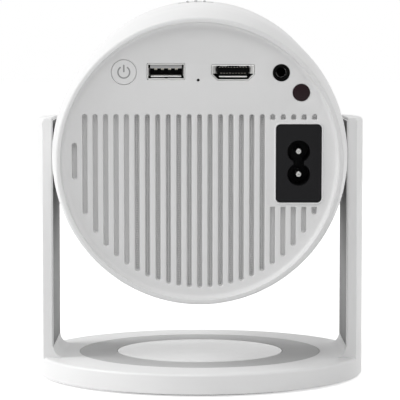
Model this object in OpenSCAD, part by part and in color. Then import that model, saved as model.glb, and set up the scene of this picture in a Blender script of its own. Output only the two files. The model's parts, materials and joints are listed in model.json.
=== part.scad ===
// Round drum projector held between the two arms of a stand.
// Millimetres. +Z is up, the ports face -Y, the lens faces +Y.
// The origin is the middle of the foot, on the surface that it stands on.
// Inside the drum, X is right, Y runs from the ports to the lens and Z is up, before the drum is tilted.

/* [Stand] */
// Height of the base body above its rubber foot
base_body_h = 7.1; // [6.6:0.1:12]
// Rounding of the base's top edge
base_edge_r = 1; // [0.3:0.1:1.5]
// Wall of the base
base_wall = 2.4; // [1.8:0.1:3.2]
// Height of the rubber foot that shows
foot_h = 0.8; // [0.4:0.1:2]
// Width of the rubber foot's ring
foot_w = 6; // [4:0.5:7]
// Thickness of each arm at its middle; the base's edge lines up with the arms' outer faces
arm_t = 6.4; // [5.8:0.1:9]
// Width of each arm, front to back
arm_w = 39; // [30:1:44]
// Height of the arms above the pivot axis
arm_above_pivot = 11.2; // [9.6:0.1:14]
// Rounding where an arm meets the base
arm_fillet_r = 4; // [2:0.5:6]
// Rounding of an arm's outer top corner
arm_top_r = 1.4; // [0.5:0.1:2.4]
// Gap between the drum and an arm's cover
arm_gap = 0.6; // [0.5:0.1:1.4]
// How far an arm's cover stands proud of the arm
cover_proud = 0.5; // [0.2:0.1:0.8]
// Thickness of an arm's cover
cover_t = 1.6; // [1.2:0.1:1.8]
// Border of the arm around its cover
cover_border = 0.8; // [0.6:0.1:3]

/* [Base inlays] */
// Plain border of the base outside the grey ring that is let into it
ring_border = 15.3; // [14:0.1:22]
// Width of the grey ring
ring_w = 13.7; // [6:0.1:20]
// Thickness of the ring and of the disc
inlay_t = 1.2; // [0.8:0.1:1.6]
// Gap between the steel weight and the bosses of the base's screws
weight_gap = 3.2; // [0.5:0.1:16]
// Thickness of the steel weight
weight_t = 2; // [1:0.1:2.2]

/* [Drum] */
// Largest radius of the drum
drum_r = 51.5; // [51:0.1:52]
// How much the drum's radius narrows towards its rear rim
rear_draft = 2.8; // [2.3:0.1:3]
// Length of the drum
drum_l = 110; // [108:0.5:111]
// Length over which the rear narrows
taper_l = 28; // [20:1:34]
// Wall of the drum
shell_wall = 2.2; // [1.8:0.1:2.6]
// Height of the pivot axis above the table
pivot_h = 82.2; // [82:0.1:96]
// Tilt of the drum at rest, lens up
rest_tilt = 2.6; // [0:0.1:20]
// Rounding of the front edge
front_edge_r = 5; // [3.5:0.1:5.5]
// Length of the front bezel that shows
bezel_l = 6; // [6:0.1:9]

/* [Rear panel] */
// Depth of the recess in the rear
recess_depth = 3; // [1.5:0.1:4]
// Thickness of the rear panel
panel_t = 2; // [1.6:0.1:2.6]
// Rounded border of the panel around its flat floor
floor_border = 2.5; // [2:0.1:2.8]
// Distance between neighbouring slots
slot_pitch = 3.58; // [3.4:0.01:3.7]
// Width of a slot
slot_w = 1.75; // [1.2:0.05:2.2]
// Height of the slots' top ends above the drum's axis
slot_top = 16; // [12:0.5:18]
// Distance between the slots' ends and the edge of the flat floor
slot_border = 2; // [1.3:0.1:5]
// Depth of the slots that don't go through
blind_depth = 1.3; // [0.6:0.1:1.4]
// Number of slots on each side of the middle one that go through
open_each_side = 6; // [2:1:6]
// Radius of the reset hole
reset_r = 0.5; // [0.4:0.05:0.8]

/* [Ports] */
// Distance of the socket row below the top of the flat floor
port_drop = 15.5; // [15:0.1:16]
// Radius of the power button
button_r = 4.3; // [3.6:0.1:4.6]
// Place of the power button, to the left of the axis
button_x = 26.1; // [25:0.1:26.6]
// Travel of the power button
button_travel = 0.6; // [0.3:0.1:0.6]
// Place of the flat four-contact socket, to the left of the axis
usb_x = 11.4; // [10:0.1:12]
// Width of the flat four-contact socket
usb_w = 13.1; // [12.8:0.1:13.4]
// Height of the flat four-contact socket
usb_h = 5.8; // [5.6:0.1:6]
// Place of the video socket, to the right of the axis
hdmi_x = 11.5; // [10:0.1:12]
// Width of the video socket
hdmi_w = 15.1; // [14.8:0.1:15.4]
// Height of the video socket
hdmi_h = 5.7; // [5.5:0.1:6]
// Wall of the sockets' metal shells
socket_wall = 0.4; // [0.3:0.05:0.5]
// Place of the audio jack, to the right of the axis
jack_x = 27.8; // [26:0.1:28]
// Radius of the audio jack's barrel
jack_r = 2.9; // [2.7:0.05:3.1]
// Radius of the audio jack's bore
jack_bore_r = 1.8; // [1.76:0.01:1.85]
// Place of the infrared window, to the right of the axis
ir_x = 34.6; // [34:0.1:35]
// Distance of the infrared window below the socket row
ir_drop = 6.7; // [6.5:0.1:8]
// Radius of the infrared window
ir_r = 2.9; // [2.4:0.1:3]

/* [Mains inlet] */
// Distance between the inlet's right side and the edge of the flat floor
inlet_border = 3.8; // [3.4:0.1:4]
// Height of the inlet's middle above the axis
inlet_v = -1; // [-2:0.1:0]
// Width of the inlet plate
inlet_w = 15.4; // [14.6:0.1:15.8]
// Height of the inlet plate
inlet_h = 26.4; // [25:0.1:27]
// Depth of the inlet body
inlet_depth = 17; // [15:0.5:19]
// Width of the figure-8 cavity
cavity_w = 8.2; // [8:0.1:8.6]
// Height of the figure-8 cavity
cavity_h = 16.4; // [16:0.1:17]
// Distance between the two pins
pin_pitch = 8.6; // [8.4:0.1:8.8]
// Radius of a pin
pin_r = 1.2; // [1:0.05:1.3]

/* [Focus] */
// Teeth on the thumb wheel
wheel_teeth = 22; // [20:2:22]
// Teeth on the focus ring
ring_teeth = 59; // [57:2:59]
// How far the thumb wheel stands out of the drum
wheel_proud = 1; // [0.6:0.1:1.2]
// Width of the thumb wheel
wheel_w = 7; // [5:0.5:8]
// Angle of the thumb wheel from straight up, towards the power button
wheel_angle = 1.6; // [0:0.1:6]
// Wall of the focus ring under its teeth
ring_wall = 2.25; // [1.8:0.05:4]
// Wall of the tube that the lens barrel slides in
mount_wall = 2; // [1.6:0.1:2.6]

/* [Light engine] */
// Width of the engine housing
engine_w = 68; // [62:1:70]
// Length of the engine housing
engine_l = 43; // [40:0.5:44]
// Height of the posts between the engine housing and the main board
post_h = 2.4; // [1.6:0.1:4]
// Wall of the engine housing
engine_wall = 2; // [1.5:0.1:2.5]
// Gap between the fan and the main board above it
fan_top_gap = 2.8; // [1.5:0.1:6]
// Gap between the fan and the tallest part on the power board below it
fan_bottom_gap = 1.6; // [1:0.1:6]
// Depth of the fan
fan_depth = 10; // [8:0.5:10]
// Number of fan blades
fan_blades = 7; // [5:1:9]
// Number of heat sink fins
fin_count = 12; // [8:1:16]

/* [Hidden] */
$fn = 96;

// Clearances
eps = 0.01;                 // overlap that joins two shapes of one solid
seat = 0.1;                 // pieces that are set into one another
run = 0.05;                 // radial clearance of a shaft in its bore
over = 1;                   // how far a cut reaches past a face

// Screws
screw_r = 1.2;
screw_head_r = 2.4;
screw_head_t = 1.1;
screw_fn = 24;

// Drum, lengths along its axis with the pivot at 0
rear_y = -drum_l / 2;
front_y = drum_l / 2;
shell_end = front_y - bezel_l;
inner_r = drum_r - shell_wall;
rear_r = drum_r - rear_draft;
taper_steps = 14;
rim_edge = 0.5;
rim_w = 0.7;
mouth_r = rear_r - rim_w;               // inside of the rear rim
ledge_l = 2;
ledge_r = mouth_r - 1.2;
sleeve_l = 3;                           // what the bezel reaches into the shell
sleeve_t = 1.6;
function taper(l) = drum_r - rear_draft * pow(1 - min(l, taper_l) / taper_l, 2);

// Stand
arm_in = drum_r + arm_gap;              // face of the covers
arm_edge = arm_in + cover_proud;        // inner edge of the arms themselves
base_r = arm_edge + arm_t;
base_top = foot_h + base_body_h;
base_roof_t = 2.5;
base_roof = base_top - base_roof_t;
arm_top = pivot_h + arm_above_pivot;
cover_bottom = base_top + arm_fillet_r;
base_cover_t = 2.2;
base_hem = 0.4;                         // small slope around the base's lower edge
foot_groove = 0.6;
foot_edge = 0.2;
foot_inset = 7;
foot_mid_r = base_r - foot_inset;
screw_boss_r = 2.8;
ring_r = base_r - ring_border;
disc_r = ring_r - ring_w;
weight_r = foot_mid_r - screw_boss_r - weight_gap;

// Pivot
stud_r = 2.5;
stud_head_r = 4.5;
stud_head_t = 2;
stud_end = 1;                           // what the stud reaches past its nut
bush_wall = 1.1;
bush_l = 6;
hub_r = 7;
washer_r = 8;
spot_face = 0.8;                        // depth of the flat on the drum under a washer
washer_in = drum_r - spot_face;
nut_r = 4.2;
nut_t = 2.2;
nut_gap = 0.3;
hub_in = washer_in - bush_l;
nut_in = hub_in - nut_gap - nut_t;

// Front fascia
fascia_gap = 0.6;
fascia_r = drum_r - front_edge_r - fascia_gap;
fascia_inset = 3.4;
fascia_y = front_y - fascia_inset;
fascia_t = 2;

// Rear panel
panel_face = rear_y + recess_depth;
panel_back = panel_face + panel_t;
panel_skirt = 1;
skirt_t = 1.6;
floor_fillet = 1.2;
flat_r = mouth_r - floor_border;
slot_end_r = flat_r - slot_border;
slot_last = floor(slot_end_r / slot_pitch);
frame_w = 1.6;                          // border kept clear around the inlet
lip_w = 0.6;
lip_h = 0.4;
port_gap = 0.15;
filter_t = 1;

// Ports
port_v = flat_r - port_drop;
ir_v = port_v - ir_drop;
reset_x = -0.5;
reset_v = port_v - 2.5;
inlet_x = flat_r - inlet_border - inlet_w / 2;
inlet_top = inlet_v + inlet_h / 2 + frame_w;
inlet_bottom = inlet_v - inlet_h / 2 - frame_w;
usb_depth = 14;
hdmi_depth = 11;
jack_depth = 12;
jack_wall = 0.2;
hdmi_corner = 2.2;
tongue_t = 1.8;
inlet_floor = 3;                        // floor of the inlet's cavity
pin_inset = 2.5;
pin_tail = 3;
button_stem = 5;
flange_gap = 0.2;
flange_t = 0.8;
flange_w = 0.7;

// Focus train
// The teeth's module makes the wheel stand out of the drum as far as asked
tooth_m = (drum_r + wheel_proud) / (wheel_teeth + ring_teeth / 2 + 1);
tooth_root = 1.25 * tooth_m;
wheel_tip = (wheel_teeth / 2 + 1) * tooth_m;
wheel_v = (wheel_teeth + ring_teeth) / 2 * tooth_m;
wheel_room = 6;                         // between the wheel and the bezel
wheel_rear = shell_end - wheel_room - wheel_w;
wheel_front = wheel_rear + wheel_w;
wheel_pin_r = 1.5;
ear_gap = 0.4;
wheel_ear_t = 2;
wheel_ear_r = 3.6;
tooth_backlash = 0.2;
mount_r = ring_teeth / 2 * tooth_m - tooth_root - ring_wall;
mount_reach = 4;
mount_front = wheel_front + mount_reach;
mount_flange_w = 1.8;
mount_flange_t = 2;

// Lens
barrel_r = mount_r - mount_wall;
barrel_inset = 5;
barrel_front = front_y - barrel_inset;
barrel_l = 23;
barrel_wall = 2.2;
barrel_head_l = 15;                     // the wide part of the barrel
barrel_step = 4;                        // how much smaller its rear part is
lens_bay = 12;
lens_r = barrel_r - barrel_wall;
lens_edge = 2.4;
front_lens_back = 7;                    // seats of the lenses behind the barrel's front
middle_lens_back = 14.5;
rear_lens_inset = 2;
key_r = 1.2;

// Light engine, lengths along the drum's axis
engine_room = 6;                        // between the engine and the wheel
engine_front = wheel_rear - engine_room;
sink_front = engine_front - engine_l;
sink_base_t = 4;
fin_t = 1.2;
front_fresnel_back = 8;                 // optical plates, behind the engine's front
lcd_back = 14;
rear_fresnel_back = 18;
glass_back = 21;
front_fresnel_y = engine_front - front_fresnel_back;
lcd_y = engine_front - lcd_back;
rear_fresnel_y = engine_front - rear_fresnel_back;
glass_y = engine_front - glass_back;
plate_t = 1.2;
lcd_t = 2.4;
led_w = 24;
led_chip_w = 8;
ear_t = 3;
ear_v = 10;
pad_l = 12;
pad_w = 7.3;
pad_x = inner_r - pad_w;
engine_screw_inset = 4.1;
engine_screw_x = inner_r - engine_screw_inset;
engine_screw_l = 10;
ear_clear = 0.6;
engine_ear_x = inner_r - ear_clear;
ribbon_w = 24;
ribbon_t = 0.3;

// Main board
board_t = 1.6;
board_top = port_v - max(usb_h, hdmi_h) / 2 - seat;
board_bottom = board_top - board_t;
board_x = 33;
board_rear = panel_back + seat;
board_back = 21.9;                      // the board's front end behind the engine's front
board_front = engine_front - board_back;
board_screw_inset = 4;
board_screw_side = 5;
board_screw_x = board_x - board_screw_side;
board_screw_pitch = 12;
engine_h = 2 * (board_bottom - post_h);
// Chips: place to the right, place behind the board's front end, width, length, height
chips = [[0, 24, 16, 16, 1.4], [-16, 30, 8, 8, 1.2], [17, 32, 10, 8, 1.2]];
capacitor_r = 2.6;
capacitor_h = 6;

// Power board
power_rise = 7.7;                       // height of the board above the bottom of the drum
power_v = power_rise - inner_r;
power_top = power_v + board_t;
power_side_gap = 1.5;
power_side = sqrt(pow(inner_r, 2) - pow(power_v, 2)) - power_side_gap;
power_inset = 20;
power_rear = panel_back + power_inset;
power_l = 55;
rail_x = 20;
rail_w = 3;
tall_part_h = 13;
// Round parts: place to the right, place ahead of the board's rear end, radius, height
round_parts = [[-18, 12, 5, 12], [18, 46, 4, 11]];
// Square parts: place to the right, place ahead of the board's rear end, width, length, height
square_parts = [[0, 35, 18, 18, tall_part_h], [-16, 40, 8, 12, 8]];

// Fan
fan_top = board_bottom - fan_top_gap;
fan_bottom = power_top + tall_part_h + fan_bottom_gap;
fan_size = fan_top - fan_bottom;
fan_v = (fan_top + fan_bottom) / 2;
fan_inset = 3;
fan_rear = panel_back + fan_inset;
fan_front = fan_rear + fan_depth;
fan_wall = 1;
fan_bore_r = fan_size / 2 - fan_wall;
fan_hub_r = 11;
fan_shaft_r = 1;
fan_plate_t = 1.4;
blade_t = 1.2;
blade_chord = 12;
blade_pitch = 50;

// Speaker
speaker_w = 17;
speaker_h = 26;
speaker_t = 9;
speaker_rim = 1.5;
speaker_cup = 4;
speaker_border = 4.5;
speaker_x = mouth_r - speaker_border - speaker_w / 2;
speaker_v = -3;
speaker_y = panel_back + seat + filter_t + seat;

// Holds children inside the drum, at its tilt
module in_drum() {
    translate([0, 0, pivot_h]) rotate([rest_tilt, 0, 0]) children();
}

// Turns a shape with its axis on Z to lie along +Y, starting at y
module along_y(y = 0) {
    translate([0, y, 0]) rotate([-90, 0, 0]) children();
}

// Extrudes a flat outline, with its second axis up, from y0 to y1
module slab(x, v, y0, y1) {
    translate([x, y1, v]) rotate([90, 0, 0]) linear_extrude(y1 - y0) children();
}

// A box given by two corners
module span(x0, x1, y0, y1, z0, z1) {
    translate([x0, y0, z0]) cube([x1 - x0, y1 - y0, z1 - z0]);
}

// Rectangle with round corners, made of squares and circles
module round_rect(w, h, r) {
    square([w - 2 * r, h], center = true);
    square([w, h - 2 * r], center = true);
    for (sx = [-1, 1], sy = [-1, 1])
        translate([sx * (w / 2 - r), sy * (h / 2 - r)]) circle(r, $fn = 32);
}

// Points of an arc about c, angles from a0 to a1
function arc(c, r, a0, a1, n = 8) =
    [for (i = [0:n]) let (a = a0 + (a1 - a0) * i / n) [c[0] + r * cos(a), c[1] + r * sin(a)]];

// ---------- Stand ----------

module arm_profile() {
    // Cross section of the right arm, X across and Z up; the rounding at its foot runs on from the cover
    difference() {
        union() {
            translate([arm_in - arm_fillet_r, base_top - 1])
                square([base_r - arm_in + arm_fillet_r + 1, arm_fillet_r + 1]);
            translate([arm_edge, base_top]) square([base_r - arm_edge + 1, arm_top - base_top]);
        }
        translate([arm_in - arm_fillet_r, base_top + arm_fillet_r]) circle(arm_fillet_r);
    }
}

module arm_column() {
    intersection() {
        translate([0, arm_w / 2, 0]) rotate([90, 0, 0]) linear_extrude(arm_w) arm_profile();
        union() {
            cylinder(r = base_r, h = arm_top - arm_top_r);
            translate([0, 0, arm_top - arm_top_r - eps])
                rotate_extrude()
                    polygon(concat(
                        [[0, 0]], arc([base_r - arm_top_r, 0], arm_top_r, 0, 90), [[0, arm_top_r]]));
        }
    }
}

module cover_pocket() {
    // Room for an arm's cover and for the head of its pivot stud
    pocket_w = arm_w - 2 * cover_border;
    translate([arm_in, -pocket_w / 2, cover_bottom])
        cube([cover_t + seat, pocket_w, arm_top - cover_border - cover_bottom]);
    translate([arm_in, 0, pivot_h]) rotate([0, 90, 0])
        cylinder(r = stud_head_r + seat, h = cover_t + stud_head_t + 2 * seat);
}

module base_shell() {
    rotate_extrude()
        polygon(concat(
            [[0, base_roof], [0, base_top], [base_r - base_edge_r, base_top]],
            arc([base_r - base_edge_r, base_top - base_edge_r], base_edge_r, 90, 0),
            [[base_r, foot_h + base_hem], [base_r - base_hem, foot_h], [base_r - base_wall, foot_h],
             [base_r - base_wall, base_roof]]));
}

module inlay_pocket() {
    translate([0, 0, base_top - inlay_t]) cylinder(r = ring_r + seat, h = inlay_t + over);
}

module screw_places() {
    for (a = [45:90:315]) rotate([0, 0, a]) translate([foot_mid_r, 0, 0]) children();
}

module stand_frame() {
    color("whitesmoke") difference() {
        union() {
            base_shell();
            for (s = [0, 1]) mirror([s, 0, 0]) arm_column();
            screw_places() translate([0, 0, foot_h + base_cover_t + eps])
                cylinder(r = screw_boss_r, h = base_roof - foot_h - base_cover_t);
        }
        inlay_pocket();
        for (s = [0, 1]) mirror([s, 0, 0]) cover_pocket();
        screw_places() translate([0, 0, foot_h])
            cylinder(r = screw_r, h = base_roof - foot_h + 0.6, $fn = screw_fn);
    }
}

module base_ring_inlay() {
    color("darkgray") translate([0, 0, base_top - inlay_t]) difference() {
        cylinder(r = ring_r, h = inlay_t);
        translate([0, 0, -over]) cylinder(r = disc_r + seat, h = inlay_t + 2 * over);
    }
}

module base_centre_disc() {
    color("gainsboro") translate([0, 0, base_top - inlay_t]) cylinder(r = disc_r, h = inlay_t);
}

module base_weight() {
    color("slategray") translate([0, 0, base_roof - weight_t]) cylinder(r = weight_r, h = weight_t);
}

module base_cover() {
    color("silver") difference() {
        translate([0, 0, foot_h]) cylinder(r = base_r - base_wall - seat, h = base_cover_t);
        translate([0, 0, foot_h - over]) difference() {
            cylinder(r = foot_mid_r + foot_w / 2 + seat, h = foot_groove + over);
            translate([0, 0, -over]) cylinder(r = foot_mid_r - foot_w / 2 - seat, h = foot_groove + 3 * over);
        }
        screw_places() {
            cylinder(r = screw_r + seat, h = base_top, $fn = screw_fn);
            cylinder(r = screw_head_r + seat, h = foot_h + foot_groove + screw_head_t, $fn = screw_fn);
        }
    }
}

module foot_ring() {
    color("dimgray") rotate_extrude()
        translate([foot_mid_r, 0])
            polygon([[-foot_w / 2, foot_h + foot_groove], [-foot_w / 2, foot_edge],
                     [-foot_w / 2 + foot_edge, 0], [foot_w / 2 - foot_edge, 0],
                     [foot_w / 2, foot_edge], [foot_w / 2, foot_h + foot_groove]]);
}

module base_screws() {
    color("silver") screw_places() translate([0, 0, foot_h + foot_groove]) difference() {
        union() {
            cylinder(r = screw_head_r, h = screw_head_t, $fn = screw_fn);
            cylinder(r = screw_r, h = base_roof - foot_h - foot_groove, $fn = screw_fn);
        }
        // Cross recess
        translate([0, 0, -over]) linear_extrude(over + screw_head_t / 2) {
            square([screw_head_r, screw_r / 2], center = true);
            square([screw_r / 2, screw_head_r], center = true);
        }
    }
}

module arm_cover() {
    // Plate on the inner face of the right arm
    plate_w = arm_w - 2 * (cover_border + seat);
    color("whitesmoke") difference() {
        translate([arm_in, -plate_w / 2, cover_bottom + seat])
            cube([cover_t, plate_w, arm_top - cover_border - cover_bottom - 2 * seat]);
        translate([arm_in - over, 0, pivot_h]) rotate([0, 90, 0])
            cylinder(r = stud_r + seat, h = cover_t + 2 * over);
    }
}

module left_arm_cover() { mirror([1, 0, 0]) arm_cover(); }

module right_arm_cover() { arm_cover(); }

module pivot_stud() {
    // Shouldered stud, its head in the arm and its end inside the drum
    color("silver") translate([0, 0, pivot_h]) {
        translate([arm_in + cover_t + seat, 0, 0]) rotate([0, 90, 0])
            cylinder(r = stud_head_r, h = stud_head_t);
        translate([nut_in - stud_end, 0, 0]) rotate([0, 90, 0])
            cylinder(r = stud_r, h = arm_in + cover_t + seat + eps - nut_in + stud_end);
    }
}

module left_pivot_stud() { mirror([1, 0, 0]) pivot_stud(); }

module right_pivot_stud() { pivot_stud(); }

module friction_washers() {
    color("dimgray") for (s = [0, 1]) mirror([s, 0, 0])
        translate([washer_in + run, 0, pivot_h]) rotate([0, 90, 0]) difference() {
            cylinder(r = washer_r, h = arm_in - washer_in - run);
            translate([0, 0, -over]) cylinder(r = stud_r + seat, h = arm_in - washer_in + 2 * over);
        }
}

module pivot_nuts() {
    color("silver") for (s = [0, 1]) mirror([s, 0, 0])
        translate([nut_in, 0, pivot_h]) rotate([0, 90, 0]) difference() {
            cylinder(r = nut_r, h = nut_t, $fn = 6);
            translate([0, 0, -over]) cylinder(r = stud_r, h = nut_t + 2 * over);
        }
}

// ---------- Drum casing ----------

module shell_profile() {
    // Radius across, length along the drum's axis up, the rear rim at 0
    shell_l = shell_end - rear_y;
    ledge = recess_depth + panel_t + panel_skirt;
    polygon(concat(
        [[mouth_r, rim_edge / 2], [mouth_r + rim_edge / 2, 0], [taper(0) - rim_edge / 2, 0]],
        [for (i = [0:taper_steps]) let (l = rim_edge + (taper_l - rim_edge) * i / taper_steps) [taper(l), l]],
        [[drum_r, shell_l], [inner_r, shell_l], [inner_r, taper_l], [mouth_r, ledge + ledge_l],
         [ledge_r, ledge + ledge_l], [ledge_r, ledge], [mouth_r, ledge]]));
}

module wheel_frame() {
    // Holds children at the thumb wheel's axis
    rotate([0, -wheel_angle, 0]) translate([0, 0, wheel_v]) children();
}

module wheel_ears() {
    for (y = [wheel_rear - ear_gap - wheel_ear_t, wheel_front + ear_gap])
        intersection() {
            along_y(y) cylinder(r = inner_r + over, h = wheel_ear_t);
            wheel_frame() {
                along_y(y) cylinder(r = wheel_ear_r, h = wheel_ear_t);
                span(-wheel_ear_r, wheel_ear_r, y, y + wheel_ear_t, 0, drum_r);
            }
        }
}

module board_rails() {
    // Two rails in the bottom of the drum that carry the power board
    intersection() {
        along_y(power_rear) cylinder(r = inner_r + over, h = power_l);
        for (s = [-1, 1])
            span(s * rail_x - rail_w / 2, s * rail_x + rail_w / 2, power_rear, power_rear + power_l,
                 -drum_r, power_v);
    }
}

module engine_pads() {
    intersection() {
        along_y(engine_front - ear_t - pad_l) cylinder(r = inner_r + over, h = pad_l);
        for (s = [-1, 1])
            span(s > 0 ? pad_x : -drum_r, s > 0 ? drum_r : -pad_x,
                 engine_front - ear_t - pad_l, engine_front - ear_t, -ear_v / 2, ear_v / 2);
    }
}

module pivot_hubs() {
    for (s = [0, 1]) mirror([s, 0, 0]) translate([hub_in, 0, 0]) rotate([0, 90, 0])
        cylinder(r = hub_r, h = washer_in - hub_in);
}

module drum_shell() {
    color("whitesmoke") in_drum() difference() {
        union() {
            along_y(rear_y) rotate_extrude() shell_profile();
            wheel_ears();
            board_rails();
            engine_pads();
            pivot_hubs();
        }
        for (s = [0, 1]) mirror([s, 0, 0]) {
            translate([washer_in, 0, 0]) rotate([0, 90, 0])
                cylinder(r = washer_r + 0.3, h = spot_face + over);
            translate([hub_in - over, 0, 0]) rotate([0, 90, 0])
                cylinder(r = stud_r + run + bush_wall, h = bush_l + spot_face + 2 * over);
            translate([engine_screw_x, 0, 0]) along_y(engine_front - ear_t - engine_screw_l)
                cylinder(r = screw_r, h = engine_screw_l + over, $fn = screw_fn);
        }
        wheel_frame() {
            along_y(wheel_rear - ear_gap) cylinder(r = wheel_tip + 0.5, h = wheel_w + 2 * ear_gap);
            along_y(wheel_rear - ear_gap - wheel_ear_t - over)
                cylinder(r = wheel_pin_r, h = wheel_w + 2 * (ear_gap + wheel_ear_t + over), $fn = 32);
        }
    }
}

module front_bezel() {
    sleeve_r = inner_r - seat;
    color("whitesmoke") in_drum() along_y() rotate_extrude()
        polygon(concat(
            [[sleeve_r, shell_end - sleeve_l], [sleeve_r, shell_end], [drum_r, shell_end]],
            arc([drum_r - front_edge_r, front_y - front_edge_r], front_edge_r, 0, 90, 10),
            [[fascia_r + seat, front_y], [fascia_r + seat, fascia_y], [fascia_r - sleeve_t, fascia_y],
             [fascia_r - sleeve_t, fascia_y - sleeve_t], [sleeve_r - sleeve_t, shell_end],
             [sleeve_r - sleeve_t, shell_end - sleeve_l]]));
}

module front_fascia() {
    color("black") in_drum() along_y(fascia_y) difference() {
        cylinder(r = fascia_r, h = fascia_t);
        translate([0, 0, -over]) cylinder(r = barrel_r + fascia_gap, h = fascia_t + 2 * over);
    }
}

// ---------- Rear panel ----------

function slot_end(x) = sqrt(pow(slot_end_r, 2) - x * x);
function slot_start(x) = min(slot_top, slot_end(x));
function beside_inlet(x) = x + slot_w / 2 > inlet_x - inlet_w / 2 - frame_w;
// Upper and lower end of each stretch of the slot at x
function stretches(x) = beside_inlet(x)
    ? [[slot_start(x), inlet_top], [inlet_bottom, -slot_end(x)]]
    : [[slot_start(x), -slot_end(x)]];

module slot_outline(x, top, bottom) {
    r = slot_w / 2;
    translate([x - r, bottom + r]) square([slot_w, top - bottom - slot_w]);
    for (v = [bottom + r, top - r]) translate([x, v]) circle(r, $fn = 24);
}

module slots(first, last) {
    // A stretch that is shorter than it is wide is left out
    for (i = [first:last]) for (s = stretches(i * slot_pitch))
        if (s[0] - s[1] > slot_w) slot_outline(i * slot_pitch, s[0], s[1]);
}

module hdmi_outline(gap = 0) {
    // Wide outline with its two lower corners cut off
    w = hdmi_w / 2 + gap;
    h = hdmi_h / 2 + gap;
    c = hdmi_corner;
    polygon([[-w, h], [-w, -h + c], [-w + c, -h], [w - c, -h], [w, -h + c], [w, h]]);
}

module panel_profile() {
    skirt_r = mouth_r - seat;
    back = recess_depth + panel_t;
    polygon(concat(
        [[0, back], [0, recess_depth], [flat_r, recess_depth]],
        arc([flat_r, recess_depth - floor_fillet], floor_fillet, 80, 20, 5),
        [[skirt_r - 0.6, 0.7], [skirt_r - 0.35, 0.3], [skirt_r, 0.2], [skirt_r, back + panel_skirt],
         [skirt_r - skirt_t, back + panel_skirt], [skirt_r - skirt_t, back]]));
}

module rear_panel() {
    color("gainsboro") in_drum() difference() {
        union() {
            along_y(rear_y) rotate_extrude() panel_profile();
            slab(inlet_x, inlet_v, panel_face - lip_h, panel_face + eps)
                round_rect(inlet_w + 2 * lip_w, inlet_h + 2 * lip_w, 1.6);
        }
        slab(0, 0, panel_face - over, panel_back + over) slots(-open_each_side, open_each_side);
        slab(0, 0, panel_face - over, panel_face + blind_depth) {
            slots(-slot_last, -open_each_side - 1);
            slots(open_each_side + 1, slot_last);
        }
        slab(inlet_x, inlet_v, panel_face - over, panel_back + over)
            round_rect(inlet_w + 2 * port_gap, inlet_h + 2 * port_gap, 1);
        slab(-usb_x, port_v, panel_face - over, panel_back + over)
            square([usb_w + 2 * port_gap, usb_h + 2 * port_gap], center = true);
        slab(hdmi_x, port_v, panel_face - over, panel_back + over) hdmi_outline(port_gap);
        panel_hole(-button_x, port_v, button_r + port_gap);
        panel_hole(jack_x, port_v, jack_r + seat / 2);
        panel_hole(ir_x, ir_v, ir_r + seat / 2);
        panel_hole(reset_x, reset_v, reset_r, 24);
    }
}

module panel_hole(x, v, r, fn = $fn) {
    translate([x, panel_face - over, v]) along_y() cylinder(r = r, h = panel_t + 2 * over, $fn = fn);
}

module dust_filter() {
    top = slot_top + 2;
    right = inlet_x - inlet_w / 2 - frame_w;
    color("gray") in_drum() intersection() {
        along_y(panel_back + seat) cylinder(r = slot_end_r + 1, h = filter_t);
        span(-drum_r, right, panel_back, panel_back + filter_t + over, -drum_r, top);
    }
}

module pivot_bushes() {
    color("goldenrod") in_drum() for (s = [0, 1]) mirror([s, 0, 0])
        translate([hub_in, 0, 0]) rotate([0, 90, 0]) difference() {
            cylinder(r = stud_r + run + bush_wall, h = bush_l);
            translate([0, 0, -over]) cylinder(r = stud_r + run, h = bush_l + 2 * over);
        }
}

// ---------- Sockets ----------

module usb_shell() {
    color("silver") in_drum() difference() {
        slab(-usb_x, port_v, panel_face, panel_face + usb_depth) square([usb_w, usb_h], center = true);
        slab(-usb_x, port_v, panel_face - over, panel_face + usb_depth - socket_wall)
            square([usb_w - 2 * socket_wall, usb_h - 2 * socket_wall], center = true);
    }
}

module usb_tongue() {
    back = panel_face + usb_depth - socket_wall;
    color("white") in_drum() {
        slab(-usb_x, port_v + 0.9, panel_face + 1, back)
            square([usb_w - 2 * socket_wall - 1.6, tongue_t], center = true);
        slab(-usb_x, port_v, back - 2, back)
            square([usb_w - 2 * socket_wall, usb_h - 2 * socket_wall], center = true);
    }
}

module hdmi_shell() {
    color("silver") in_drum() difference() {
        slab(hdmi_x, port_v, panel_face, panel_face + hdmi_depth) hdmi_outline();
        slab(hdmi_x, port_v, panel_face - over, panel_face + hdmi_depth - socket_wall)
            hdmi_outline(-socket_wall);
    }
}

module hdmi_tongue() {
    back = panel_face + hdmi_depth - socket_wall;
    color("black") in_drum() {
        slab(hdmi_x, port_v + 0.3, panel_face + 1.2, back)
            square([hdmi_w - 2 * socket_wall - 3, tongue_t - 0.4], center = true);
        slab(hdmi_x, port_v, back - 1.5, back) hdmi_outline(-socket_wall);
    }
}

module audio_jack() {
    half = jack_r + jack_wall;
    color("black") in_drum() difference() {
        union() {
            translate([jack_x, panel_face - 0.2, port_v]) along_y() cylinder(r = jack_r, h = panel_t + 0.4);
            span(jack_x - half, jack_x + half, panel_back + seat, panel_face + jack_depth,
                 board_top, port_v + half - 0.3);
        }
        translate([jack_x, panel_face - over, port_v]) along_y()
            cylinder(r = jack_bore_r, h = jack_depth, $fn = 48);
    }
}

module ir_window() {
    color("maroon") in_drum() translate([ir_x, panel_face - 0.1, ir_v]) along_y()
        cylinder(r = ir_r, h = panel_t + 0.1);
}

module ir_receiver() {
    color("black") in_drum() {
        span(ir_x - 2.4, ir_x + 2.4, panel_back + seat, panel_back + 4, ir_v - 2.4, ir_v + 1.9);
        span(board_x - 1.6, board_x - 0.4, panel_back + 3, panel_back + 4, ir_v + 1.8, board_bottom);
    }
}

module figure_8(w, h) {
    for (s = [-1, 1]) translate([0, s * (h - w) / 2]) circle(w / 2);
    square([w * 0.82, h - w], center = true);
}

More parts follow.
